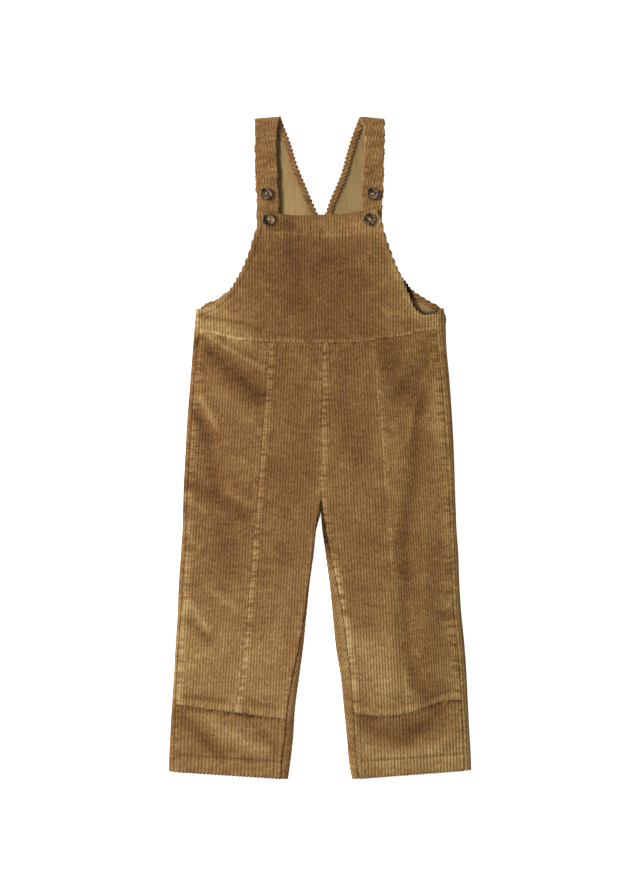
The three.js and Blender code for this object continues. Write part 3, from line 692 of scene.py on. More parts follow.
# %% Inner face of the cloth
def plain_weave(name, light, dark):
    material, tree, links, shader, place = start_look(name)
    tone = add_node(tree, "ShaderNodeAttribute", attribute_name="tone")
    threads = []
    for direction in ("X", "Y"):
        wave = add_node(
            tree, "ShaderNodeTexWave", Scale=330.0, Distortion=1.2,
            bands_direction=direction, wave_type="BANDS",
        )
        wave.inputs["Detail"].default_value = 2.0
        links.new(place, wave.inputs["Vector"])
        threads.append(wave)
    weave = add_node(tree, "ShaderNodeMath", operation="ADD")
    links.new(threads[0].outputs["Fac"], weave.inputs[0])
    links.new(threads[1].outputs["Fac"], weave.inputs[1])
    drawn = add_node(tree, "ShaderNodeMapping", Scale=(1.0, 0.12, 1.0))
    links.new(place, drawn.inputs["Vector"])
    mottle = add_node(tree, "ShaderNodeTexNoise", Scale=330.0, Detail=4.0, Roughness=0.6)
    links.new(drawn.outputs["Vector"], mottle.inputs["Vector"])
    mixed = add_node(tree, "ShaderNodeMath", operation="MULTIPLY_ADD")
    links.new(weave.outputs[0], mixed.inputs[0])
    mixed.inputs[1].default_value = 0.2
    links.new(mottle.outputs["Fac"], mixed.inputs[2])
    colours = colour_ramp(tree, [(0.35, dark), (0.9, light)])
    links.new(mixed.outputs[0], colours.inputs["Fac"])
    shade = add_node(tree, "ShaderNodeVectorMath", operation="SCALE")
    links.new(colours.outputs["Color"], shade.inputs[0])
    links.new(tone.outputs["Fac"], shade.inputs["Scale"])
    links.new(shade.outputs[0], shader.inputs["Base Color"])
    add_relief(tree, shader, weave.outputs[0], 0.3, 0.0003)
    shader.inputs["Roughness"].default_value = 0.92
    shader.inputs["Specular IOR Level"].default_value = 0.15
    shader.inputs["Sheen Weight"].default_value = 0.1
    return material


inside_look = plain_weave("tan_inner_face", srgb(164, 140, 95), srgb(138, 113, 72))
print("inner face made")

# %% [markdown]
# ## Tones of the pile, with painted light and shade
#
# The pile is darker in the middle of the bib, lighter down the legs and on the straps. In the
# troughs of the large folds it is painted darker and on their ridges painted lighter: painted shade
# and painted light. Each patch is a soft stroke with the same numbers as a crease, and its rise
# says how much it lightens; some strokes lie along folds and paint their light and shade.

# %% Tone of the front
NAP_AND_SHADE_STROKES = [
    (58, -0.16, -5, 215, -5, 140), (16, 0.05, 75, 190, 95, 160), (22, 0.26, -112, 134, -92, 128),
    (20, 0.03, 100, 132, 118, 130), (10, 0.16, -20, 236, 55, 236), (8, 0.12, 12, 230, 34, 232),
    (9, -0.14, -45, 236, -32, 236), (22, 0.04, -40, 100, 40, 100),
    (60, 0.12, -100, -220, -60, -240), (20, 0.16, 55, -215, 65, -255),
    (18, 0.06, -30, -140, -45, -200), (16, -0.1, 112, -100, 120, -250),
    (9, 0.14, -142, -120, -148, -250), (9, 0.1, 118, 70, 126, 10), (14, 0.01, -56, 335, -56, 260),
    (14, 0.02, 56, 335, 56, 260), (12, 0.0, -135, -335, -50, -340),
    (14, 0.13, 50, -328, 150, -326), (6, 0.2, 16, -130, 36, -250),
    (18, -0.05, 80, -298, 118, -290), (16, 0.07, 50, -312, 60, -326),
    (9, 0.07, 120, -318, 140, -310), (24, -0.09, -112, 95, -72, 55), (20, -0.07, 80, 100, 110, 60),
    (12, -0.05, -40, 90, 40, 90), (5, -0.09, 70, -50, 80, -180),
]
patchiness = unevenness(14, 26)


def tone_at(x, y):
    """How pale the pile looks, 0 deep brown to 1 pale, with painted light and shade of the folds."""
    tone = 0.45 + 0.09 * soft_step(-y, 40, 260) + 0.04 * patchiness(x, y)
    tone = tone + crease_height(x, y, NAP_AND_SHADE_STROKES)
    # Painted shade in the troughs of the creases and fine wrinkles, painted light on their ridges.
    return tone + 0.19 * crease_height(x, y, CREASES) + 0.05 * wrinkles(x, y)


# %% [markdown]
# ## Front trouser panels
#
# Each leg has two front panels, joined by a seam down its middle. Columns of the net run from
# seam to seam, and rows from the leg band up to the waist. Some seams have their allowances
# pressed to one side, and there a narrow raised band with puckers runs beside the seam. The
# right side panel lies a little crushed, so its wales stand closer together.

# %% Panels between two seams
COLUMN = 0.5
ROW = 1.1
PANEL_LENGTH = 390
PRESSED_EDGE = 1.6


def panel_net(left, right, top_line, bottom_line, rows, columns):
    """Points of a net between two seams and two lines across, and their distances inward."""
    across = np.linspace(0, 1, columns + 1)[None, :]
    up = np.linspace(0, 1, rows + 1)[:, None]
    x = np.zeros((rows + 1, columns + 1))
    y = np.zeros_like(x)
    for turn in range(5):
        y = bottom_line(x) + (top_line(x) - bottom_line(x)) * up
        start, end = left(y) + SEAM_GAP / 2, right(y) - SEAM_GAP / 2
        x = start + (end - start) * across
    away = {
        "left": x - left(y), "right": right(y) - x,
        "top": top_line(x) - y, "bottom": y - bottom_line(x),
    }
    return x, y, away


def front_panel(left, right, lean, bands, seed, pitch):
    """A front trouser panel. bands are those beside its left, right, top and bottom seams."""
    columns = round(float(right(CROTCH) - left(CROTCH)) / COLUMN)
    rows = round(PANEL_LENGTH / ROW)
    x, y, away = panel_net(
        left, right, lambda x: waist_line(x) - SEAM_GAP / 2, lambda x: cuff_line(x) + SEAM_GAP / 2,
        rows, columns,
    )
    z, tone = front_cloth(x, y), tone_at(x, y)
    for k, (edge, along) in enumerate((("left", y), ("right", y), ("top", x), ("bottom", x))):
        height, pale = seam_relief(away[edge], along, seed + k, bands[edge])
        z, tone = z + height, tone + pale
    number = wale_number(x, y, lean, pitch)
    pressed = soft_step(np.minimum.reduce(list(away.values())), 0, PRESSED_EDGE)
    shown = np.stack([x, y, z + wale_height(number) * (0.4 + 0.6 * pressed)], axis=2)
    behind = np.stack([x, y, z - CLOTH], axis=2)
    return wall(shown, behind, number, tone)


QUIET = (0.1, 0.1, 5.0, 0.25, 0.04)
LADDER = (0.12, 0.2, 8.0, 0.5, 0.06)
LIGHT_LADDER = (0.15, 0.2, 9.5, 0.42, 0.03)
FINE_EDGE = (0.0, 0.5, 1.7, 0.12, 0.28)
GATHERED = (0.5, 0.15, 5.0, 0.3, -0.03)
# Its paleness is painted light above the cuff seam.
ABOVE_BAND = (0.35, 0.4, 8.0, 0.2, 0.13)
PANELS = [
    ("front_side_left", "leftSide", "leftPrincess", -0.062, LIGHT_LADDER, QUIET, 100, WALE_PITCH),
    ("front_centre_left", "leftPrincess", "leftCentre", -0.045, LADDER, QUIET, 110, WALE_PITCH),
    ("front_centre_right", "rightCentre", "rightPrincess", 0.045, LADDER, FINE_EDGE, 120, WALE_PITCH),
    ("front_side_right", "rightPrincess", "rightSide", 0.062, QUIET, LIGHT_LADDER, 130,
     CRUSHED_PITCH),
]
made = {}
for name, left, right, lean, left_band, right_band, seed, pitch in PANELS:
    bands = {"left": left_band, "right": right_band, "top": GATHERED, "bottom": ABOVE_BAND}
    panel = front_panel(leg[left], leg[right], -lean, bands, seed, pitch)
    made[name] = cloth_piece(name, [panel])

# %% [markdown]
# ## Leg bands
#
# A separate band of cloth ends each leg at the front. Its hem is turned up and stitched, so
# the lowest 18 mm are two layers thick and stand a little higher below the line of stitches.

# %% Leg bands with their hems
# Its negative paleness is painted shade below the cuff seam, where the band drops behind it.
UNDER_SEAM = (0.6, 0.0, 4.0, 0.3, -0.2)
CUFF_PITCH = {"left": 3.8, "right": 3.45}
STITCH_DIP = 0.5
BAND_ROWS = 66
HEM_NOTCH = 1.0
NOTCH_REACH = 2.0


def leg_band(name, left, right, lean, seed):
    columns = round(float(right(-303) - left(-303)) / COLUMN)
    x, y, away = panel_net(
        left, right, lambda x: cuff_line(x) - SEAM_GAP / 2, hem_line, BAND_ROWS, columns,
    )
    z, tone = front_cloth(x, y), tone_at(x, y)
    for k, (edge, along) in enumerate((("left", y), ("right", y), ("top", x))):
        height, pale = seam_relief(away[edge], along, seed + k, UNDER_SEAM if k == 2 else QUIET)
        z, tone = z + height, tone + pale
    hem = 1 - soft_step(away["bottom"], LEG_HEM - 0.4, LEG_HEM + 0.8)
    z += HEM_RISE * hem
    z -= STITCH_DIP * np.exp(-((away["bottom"] - LEG_HEM - 0.2) / 0.9) ** 2)
    z += 0.22 * unevenness(seed + 3, 4.2)(x) * np.exp(-((away["bottom"] - LEG_HEM) / 9) ** 2)
    z -= 1.2 * np.exp(-(away["bottom"] / 1.0) ** 2)
    number = wale_number(x, y, lean, CUFF_PITCH[name])
    nearest = np.minimum.reduce([away["left"], away["right"], away["top"]])
    pressed = soft_step(nearest, 0, PRESSED_EDGE)
    ridges = wale_height(number)
    drawn = HEM_NOTCH * np.exp(-(away["bottom"] / NOTCH_REACH) ** 2)
    # The turned hem is a little lighter, and the line of stitches is painted darker: painted shade in
    # its dip.
    tone += 0.06 * hem - 0.2 * np.exp(-((away["bottom"] - LEG_HEM - 0.6) / 1.6) ** 2)
    notched = y + drawn * scallop(number)
    shown = np.stack([x, notched, z + ridges * (0.3 + 0.9 * pressed)], axis=2)
    behind = np.stack([x, y + drawn, z - CLOTH], axis=2)
    return wall(shown, behind, number, tone)


for name, left, right, lean, seed in (
    ("left", "leftSide", "leftCentre", 0.03, 200), ("right", "rightCentre", "rightSide", -0.03, 210),
):
    band = leg_band(name, leg[left], leg[right], lean, seed)
    made[f"cuff_{name}"] = cloth_piece(f"cuff_{name}", [band])

# %% [markdown]
# ## Backs of the legs
#
# The back of each leg is wider than the front. It lies flat on the floor, rolls up round the
# outer edge and meets the front panel at the side seam, a few millimetres inside the outline.
# Below the crotch it rolls over at the inner edge too.

# %% Rolled cloth
CLOSED = 0.02
back_centre = smooth([(125.4, 4.2), (32, 3.2), (-30, 2.0), (-60, 1.1)])
TOP_TURN = 30
LOW_TURN = 10
ONE_SIDE = 150
ALL_ROUND = 245
HEM_HIDDEN = 0.8
INSEAM_SHADE = {"left": 0.55, "right": 0.2}
CROTCH_SHADE = {"left": 0.35, "right": 0.6}
ROLL_ANGLES = np.concatenate([
    np.linspace(0, np.pi / 2, TOP_TURN + 1), np.linspace(np.pi / 2, np.pi, LOW_TURN + 1)[1:],
])


def rolled_section(seam, edge, y, inset, lift):
    """Across and up places of a rolled side, from the seam on top round to the floor.
    seam, edge and y have one value a row. lift stands wales up from the cloth."""
    angle = ROLL_ANGLES[None, :]
    out = np.sign(edge - seam)
    rim = edge - out * inset
    top_x = seam + (rim - seam) * np.sin(angle)
    low_x = rim - out * (ROLL - inset) * (1 - np.sin(angle))
    x = np.where(angle <= np.pi / 2, top_x, low_x)
    height = front_cloth(np.broadcast_to(seam, x.shape), np.broadcast_to(y, x.shape))
    half = height / 2
    z = half + (half - inset + lift) * np.cos(angle)
    return x + out * lift * np.sin(angle), z


def path_length(x, z):
    steps = np.hypot(np.diff(x, axis=1), np.diff(z, axis=1))
    return np.concatenate([np.zeros((x.shape[0], 1)), np.cumsum(steps, axis=1)], axis=1)


def lip(seam_curve, edge_curve, y, sign, slant, seed, gain, shade=0.0, gap=SEAM_GAP,
        fullness=0.5, low_end=None):
    """A rolled lip of a back piece: its outer and inner places, wale numbers and paleness, with
    painted shade from the seam, in the grooves of slanted wales and by shade along the inseam.
    fullness is how much higher the wales stand away from the seam and from the low end."""
    seam, edge = seam_curve(y) + sign * gap / 2, edge_curve(y)
    x, z = rolled_section(seam, edge, y, 0.0, 0.0)
    length = path_length(x, z)
    number = (length + slant * y) / WALE_PITCH
    fade = 1 - soft_step(ROLL_ANGLES, 0.55 * np.pi, 0.7 * np.pi)[None, :]
    from_ends = length if low_end is None else np.minimum(length, y - low_end)
    pressed = soft_step(from_ends, 0.0, 1.4)
    relief, pale = seam_relief(length, y, seed, QUIET)
    if slant:
        # Painted shade in the grooves of the slanted wales, and by shade along the inseam.
        seam_line = np.exp(-(length / 1.3) ** 2) * soft_step(-y, 90, 160)
        pale = pale - 0.12 * scallop(number) - shade * seam_line
    lift = wale_height(number) * (0.25 + fullness * pressed) * fade + relief * fade
    x, z = rolled_section(seam, edge, y, 0.0, lift)
    x_in, z_in = rolled_section(seam, edge, y, BACK_CLOTH, 0.0)
    return x, z, x_in, z_in, number, pale + gain


def leg_back(name, out, top_line, bottom_line, wraps, slants, seed, gains):
    """Part of a leg's back, as sections across the leg. out is +1 where x grows inward."""
    rows = round(float(top_line(0) - bottom_line(0)) / ROW)
    middle = float(leg[f"{name}Edge"](CROTCH)) * 0.6
    up = np.linspace(0, 1, rows + 1)[:, None]
    y = bottom_line(middle) + (top_line(middle) - bottom_line(middle)) * up
    outer_lip = lip(leg[f"{name}Side"], leg[f"{name}Edge"], y, -out, slants[0], seed, gains[0])
    start = leg[f"{name}Edge"](y) + out * ROLL
    if wraps:
        inner_lip = lip(
            leg[f"{name}Centre"], leg[f"{name}Inner"], y, out, slants[1], seed + 1, gains[1],
            INSEAM_SHADE[name],
        )
        end = leg[f"{name}Inner"](y) - out * ROLL
    else:
        end = back_centre(y) - out * CLOSED
    share = np.linspace(0, 1, 7)[None, 1:]
    floor_x = start + (end - start) * share
    width = ALL_ROUND if wraps else ONE_SIDE
    if wraps:
        floor_x = floor_x[:, :-1]
    level = np.zeros_like(floor_x)
    inside = level + BACK_CLOTH
    first = outer_lip[4][:, -1:]
    last = width / WALE_PITCH - (inner_lip[4][:, -1:] if wraps else 0)
    floor_number = first + (last - first) * (floor_x - start) / (end - start)
    columns = [outer_lip, (floor_x, level, floor_x, inside, floor_number, level)]
    if wraps:
        x, z, x_in, z_in, number, tone = (part[:, ::-1] for part in inner_lip)
        columns.append((x, z, x_in, z_in, width / WALE_PITCH - number, tone))
    x, z, x_in, z_in, number, pale = (np.concatenate(part, axis=1) for part in zip(*columns))
    tilt_top, tilt_bottom = top_line(x) - top_line(middle), bottom_line(x) - bottom_line(middle)
    heights = y + tilt_bottom + (tilt_top - tilt_bottom) * up
    shown = np.stack([x, heights, z], axis=2)
    behind = np.stack([x_in, heights, z_in], axis=2)
    tone = tone_at(x, heights) + pale
    between_legs = np.abs(x - leg[f"{name}Inner"](heights)) < 6
    shadow = soft_step(heights, -135, -85) * (1 - soft_step(heights, -50, -40))
    tone -= CROTCH_SHADE[name] * shadow * between_legs
    return wall(shown, behind, number, tone, 2)


def level_line(height):
    return lambda x: height + 0 * np.asarray(x, float)


for name, out, gains in (("left", 1, (-0.1, 0.0)), ("right", -1, (0.02, 0.03))):
    upper = leg_back(
        name, out, lambda x: back_waist_line(x) - CLOSED, level_line(CROTCH), False,
        (0.0, 0.0), 300 + out, gains,
    )
    lower = leg_back(
        name, out, level_line(CROTCH), lambda x: hem_line(x) + HEM_HIDDEN, True, (0.0, 0.55), 310 + out,
        gains,
    )
    made[f"back_leg_{name}"] = cloth_piece(f"back_leg_{name}", [upper, lower])

# %% [markdown]
# ## Bib
#
# The bib is one piece from the waist seam to its top. Its columns run straight up, as its
# wales do. The armholes have a narrow turned hem, and the top a deep one, each held by a row
# of stitches that pulls the cloth in. It swells over the straps that pass behind its corners.

# %% Bib edge and height
BIB_TOP_HEM = [
    (-70.0, 227.0), (-33.8, 226.8), (0.0, 223.6), (28.5, 224.9), (59.1, 229.5), (70.0, 230.5),
]
BIB_STITCH = 5.8
OVER_SEAM = (0.2, 0.3, 4.0, 0.3, 0.2)
BIB_COLUMN = 0.48
BIB_ROWS = 72
EDGE_STEPS = np.array([3.6, 2.6, 1.8, 1.15, 0.65, 0.3, 0.0])


def dense(table, step=1.5):
    """Points along a table's smooth curve."""
    curve = smooth(table)
    xs = np.linspace(table[0][0], table[-1][0], max(8, round(abs(table[-1][0] - table[0][0]) / step)))
    return list(zip(xs.tolist(), curve(xs).tolist()))


armhole_left, bib_top = dense(BIB_ARMHOLE_LEFT, 0.7), dense(BIB_TOP, 3)
armhole_right = dense(BIB_ARMHOLE_RIGHT, 0.7)
bib_outline = armhole_left + bib_top[1:] + armhole_right[1:]
bib_top_stitches = smooth(BIB_TOP_HEM)


def bib_edge(x):
    return np.interp(x, [p[0] for p in bib_outline], [p[1] for p in bib_outline])


def over_straps(x, y):
    """1 where the straps lie behind the bib, and 0 away from them."""
    outside = np.maximum(np.abs(np.abs(x) - 54.5) - 14.5, 0)
    below = np.maximum(216 - y, 0)
    return 1 - soft_step(np.hypot(outside, below), 0, 14)


def bib_cloth(x, y):
    share = over_straps(x, y)
    swell = 0.2 * broad_swell(x, 0.6 * y) + crease_height(x, y, CREASES)
    return front_cloth(x, y) * (1 - share) + (BIB_OVER_STRAP + swell) * share


# %% Make the bib
def bib_wall():
    left, right = side["leftSide"](125.4) + SEAM_GAP / 2, side["rightSide"](125.4) - SEAM_GAP / 2
    x = np.linspace(left, right, round((right - left) / BIB_COLUMN) + 1)[None, :]
    low, high = waist_line(x) + SEAM_GAP / 2, bib_edge(x)
    even = np.linspace(0, 1, BIB_ROWS)[:-1, None]
    y = np.concatenate([low + (high - EDGE_STEPS[0] - low) * even, high - EDGE_STEPS[:, None]])
    x = np.broadcast_to(x, y.shape).copy()
    z, tone = bib_cloth(x, y), tone_at(x, y)
    armhole = np.minimum(distance_to(armhole_left, x, y), distance_to(armhole_right, x, y))
    top_edge = distance_to(bib_top, x, y)
    z += 0.5 * (1 - soft_step(armhole, BIB_STITCH - 0.5, BIB_STITCH + 0.6))
    z -= 0.12 * np.exp(-((armhole - BIB_STITCH) / 1.0) ** 2)
    stitch = bib_top_stitches(x) - y
    z += 0.35 * (1 - soft_step(stitch, -0.5, 0.7))
    z -= 0.4 * np.exp(-(stitch / 0.9) ** 2)
    armhole_puffs = puffs_along(401, 3.0, y, 0.3 * x) * np.exp(-((armhole - 4.5) / 4.5) ** 2)
    top_puffs = puffs_along(402, 3.2, x, 0.2 * y) * np.exp(-((stitch + 1) / 7) ** 2)
    z += 0.18 * armhole_puffs + 0.18 * top_puffs
    # Painted light on the puffs and painted shade between them.
    tone += 0.07 * armhole_puffs + 0.07 * top_puffs
    rim = np.minimum(armhole, top_edge)
    z -= 1.1 * np.exp(-(rim / 0.75) ** 2)
    seam_away = np.minimum(x - left + GAP / 2, right + GAP / 2 - x)
    for distance, along, seed, band in (
        (y - waist_line(x), x, 403, OVER_SEAM), (seam_away, y, 404, QUIET),
    ):
        height, pale = seam_relief(distance, along, seed, band)
        z, tone = z + height, tone + pale
    number = wale_number(x, y)
    pressed = soft_step(np.minimum.reduce([seam_away, rim, y - waist_line(x)]), 0, PRESSED_EDGE)
    ridges = wale_height(number)
    # Painted light on the raised armhole hems, darker at the very rim, lighter along the top stitches
    # and a little lighter at the right armhole.
    tone += 0.16 * np.exp(-(armhole / 7) ** 2) - 0.08 * np.exp(-(rim / 1.6) ** 2)
    tone += 0.16 * np.exp(-(stitch / 1.6) ** 2) + 0.03 * np.exp(-(armhole / 18) ** 2) * (x > 0)
    slope = np.gradient(bib_edge(x[0]), x[0])
    drawn = (0.9 + np.abs(slope) / np.hypot(slope, 1)) * np.exp(-(rim / NOTCH_REACH) ** 2)
    notch = drawn * scallop(number)
    lean = np.stack([slope, -np.ones_like(slope)]) / np.hypot(slope, 1)
    shown = np.stack([
        x + notch * lean[0], y + notch * lean[1], z + ridges * (0.4 + 0.6 * pressed),
    ], axis=2)
    behind = np.stack([x + drawn * lean[0], y + drawn * lean[1], z - CLOTH], axis=2)
    return wall(shown, behind, number, tone)


made["bib"] = cloth_piece("bib", [bib_wall()])

# %% [markdown]
# ## Back of the top, with its straps
#
# The back is cut in one with the straps. It lies with its plain inner face up, and the straps
# fold over at the shoulders and come forward behind the bib, so on them the pile shows. Here
# the fine net is the face that shows from above, which is the inner face on the flat part.

# %% Flat part of the back
inner_swell = unevenness(15, 17)


def flat_back(outer_table, neck_table, out):
    """Half of the back, from its outer edge to the middle and, higher up, to the neck."""
    outer_edge, neck = smooth(outer_table), smooth(neck_table)
    neck_point = neck_table[0][0]
    rows, columns = 120, 40
    up = np.linspace(0, 1, rows + 1)[:, None]
    share = np.linspace(0, 1, columns + 1)[None, :]
    y = np.full((rows + 1, columns + 1), 125.0)
    x = np.zeros_like(y)
    centre = CENTRE - out * 0.25
    for turn in range(4):
        bottom = back_waist_line(x) + CLOSED
        y = bottom + (HEM_TOP_ROW - bottom) * up
        merged = centre + (neck_table[0][1] - centre) * (y - 111.7) / (neck_point - 111.7)
        inner = np.where(y < neck_point, merged, neck(y))
        inner = inner + out * 1.1 * soft_step(y, neck_point, neck_point + 4)
        behind_bib = soft_step(y, 158, 168) * (1 - soft_step(y, 236, 246))
        start = outer_edge(y) - out * (1.0 * soft_step(y, 149, 153) + 1.4 * behind_bib)
        x = start + (inner - start) * share
    z = BACK_CLOTH + 0.12 * inner_swell(x, 0.6 * y) - 0.1
    shown = np.stack([x, y, z], axis=2)
    behind = np.stack([x, y, 0 * z], axis=2)
    beside_hem = np.abs(x - neck(y)) - NECK_HEM
    shaded = 0.16 * np.exp(-(beside_hem / 7) ** 2) * soft_step(y, 225, 245)
    if out < 0:
        from_strap = x - smooth(STRAP_LEFT, 2)(y)
        shaded += 0.6 * np.exp(-(np.maximum(from_strap, 0) / 4.5) ** 4)
    else:
        shaded += 0.6 * np.exp(-(distance_to(armhole_right, x, y) / 4) ** 4)
    # The shaded parts are painted shade: beside the neck hem, and painted shadows of the left strap and
    # the bib's right edge. The right half is painted darker too.
    tone = 1 + 0.04 * patchiness(x, y) - shaded - 0.17 * (out > 0)
    made_wall = wall(shown, behind, x / WALE_PITCH, tone, 4)
    made_wall["slots"] = [1 - slot for slot in made_wall["slots"]]
    return made_wall


SIDE_CORNER = {"left": 146.9, "right": 147.5}
LOW_CORNER = 142.2


def rolled_side(name, out, seed):
    """The strip of the back that rolls over to the side seam below the armhole."""
    up = np.linspace(0, 1, 21)[:, None]
    low = back_waist_line(out * 130.0)
    y = low + CLOSED + (SIDE_CORNER[name] - low) * up
    # The left strip gains 0.15 in tone: painted light on the side toward the lamp.
    x, z, x_in, z_in, number, pale = lip(
        side[f"{name}Side"], side[f"{name}Edge"], y, out, 0.0, seed, 0.15 * (out < 0),
        gap=GAP, fullness=0.75, low_end=y[0],
    )
    heights = np.broadcast_to(y, x.shape).copy()
    if name == "right":
        rounded = 1 - np.sin(np.minimum(ROLL_ANGLES, np.pi / 2))
        heights = heights - up * (SIDE_CORNER[name] - LOW_CORNER) * rounded
    shown, behind = np.stack([x, heights, z], axis=2), np.stack([x_in, heights, z_in], axis=2)
    return wall(shown, behind, number, tone_at(x, heights) + pale, 4)


# %% Straps
def strap(front_table, neck_table, outer_table, out, seed):
    """The strap as sections along its path: back, over the shoulder fold, down the front."""
    outer_edge, neck = smooth(outer_table), smooth(neck_table)
    front_outer, front_inner = smooth(front_table, 1), smooth(front_table, 2)
    bend = STRAP_TOP / 2
    inner_bend = (STRAP_UNDER - BACK_CLOTH) / 2
    middle = SHOULDER - bend
    angles = np.linspace(-np.pi / 2, np.pi / 2, 17)
    down = np.arange(middle - 1.4, STRAP_END, -ROW)
    y = np.concatenate([[334.0, 340.0], middle + bend * np.cos(angles), down])[:, None]
    y_in = np.concatenate([[334.0, 340.0], middle + inner_bend * np.cos(angles), down])[:, None]
    z = np.concatenate([[0, 0], bend + bend * np.sin(angles), np.full(len(down), STRAP_TOP)])
    z_in = np.concatenate([
        [BACK_CLOTH - 0.2] * 2, BACK_CLOTH + inner_bend + inner_bend * np.sin(angles),
        np.full(len(down), STRAP_UNDER),
    ])
    turned = np.concatenate([[0, 0], (1 + np.sin(angles)) / 2, np.ones(len(down))])[:, None]
    sloped = np.concatenate([[0, 0], np.cos(angles) ** 0.5, np.zeros(len(down))])[:, None]
    falling = np.concatenate([[0, 0], np.sin((angles + np.pi / 2) / 2), np.ones(len(down))])
    near_top = np.exp(-np.maximum(middle - y, 0) / 14) * falling[:, None]
    columns = 56
    share = np.linspace(0, 1, columns + 1)[None, :]
    outside = outer_edge(y) * (1 - turned) + front_outer(y) * turned
    inside = neck(y) * (1 - turned) + front_inner(y) * turned
    x = outside + (inside - outside) * share
    drop = SHOULDER_SLOPE * (np.abs(x) - STRAP_NECK_X) * np.maximum(sloped, near_top)
    rim = np.minimum(share, 1 - share) * 25.0
    path = np.concatenate([[0], np.cumsum(np.hypot(np.diff(y[:, 0]), np.diff(z)))])[:, None]
    crinkle = unevenness(seed + 3, 4.0)
    number = wale_number(x, -path, out * 0.19) + 0.22 * crinkle(0.5 * x, path) * turned
    pressed = soft_step(rim, 0, 1.4)
    lift = wale_height(number) * (0.3 + 0.7 * pressed) * soft_step(turned, 0.1, 0.5)
    swell = 0.3 * unevenness(seed, 16)(x, path) * turned + 0.12 * small_swell(x, path) * turned
    pull = 0.14 * unevenness(seed + 1, 3.0)(path) * np.exp(-(rim / 5) ** 2) * turned
    folds = puffs_along(seed + 4, 4.2, path, 0.35 * x) * turned
    relief = swell + pull + 0.1 * folds - 1.0 * np.exp(-(rim / 0.8) ** 2) * turned
    facing_up = np.concatenate([[0, 0], np.sin(angles), np.ones(len(down))])[:, None]
    facing_out = np.concatenate([[0, 0], np.cos(angles), np.zeros(len(down))])[:, None]
    shown_y = y - drop + (lift + relief) * facing_out
    shown_z = np.broadcast_to(z[:, None], x.shape) + (lift + relief) * np.maximum(facing_up, 0)
    shown = np.stack([x, shown_y, shown_z], axis=2)
    ragged = 0.7 * unevenness(seed + 2, 2.0)(path) * np.exp(-(rim / 2.0) ** 2) * turned
    notch = 0.8 * scallop(number) * np.exp(-(rim / 1.5) ** 2) * turned
    shown[:, :, 0] += (ragged - notch) * np.where(share < 0.5, 1, -1) * out
    lowered = np.minimum(relief, 0) * np.maximum(facing_up, 0)
    drawn = 0.8 * np.exp(-(rim / 2.0) ** 2) * turned * np.where(share < 0.5, -1, 1) * out
    behind = np.stack([x + drawn, y_in - drop, z_in[:, None] + lowered], axis=2)
    # Painted light on the rims of the strap, and painted light and shade that follow its pull and its
    # folds.
    tone = tone_at(x, y + 0 * x) + 0.12 * np.exp(-(rim / 2.5) ** 2) + 0.5 * pull + 0.07 * folds
    return wall(shown, behind, number, tone, 4)


made["back_bodice"] = cloth_piece("back_bodice", [
    flat_back(BACK_LEFT, NECK_LEFT, -1), flat_back(BACK_RIGHT, NECK_RIGHT, 1),
    rolled_side("left", -1, 501), rolled_side("right", 1, 502),
    strap(STRAP_LEFT, NECK_LEFT, BACK_LEFT, -1, 503),
    strap(STRAP_RIGHT, NECK_RIGHT, BACK_RIGHT, 1, 504),
])

# %% [markdown]
# ## Turned hems of the neck and the armholes
#
# At the V of the neck and at the back armholes the cloth is turned to the inside. Turned
# cloth shows its pile, and because the edge slants, the wales cross the band slantwise: they
# are the mirror image of the upright wales of the back, in the line of the edge.


# %% Hem bands
HEM_SLANT = math.radians(40)


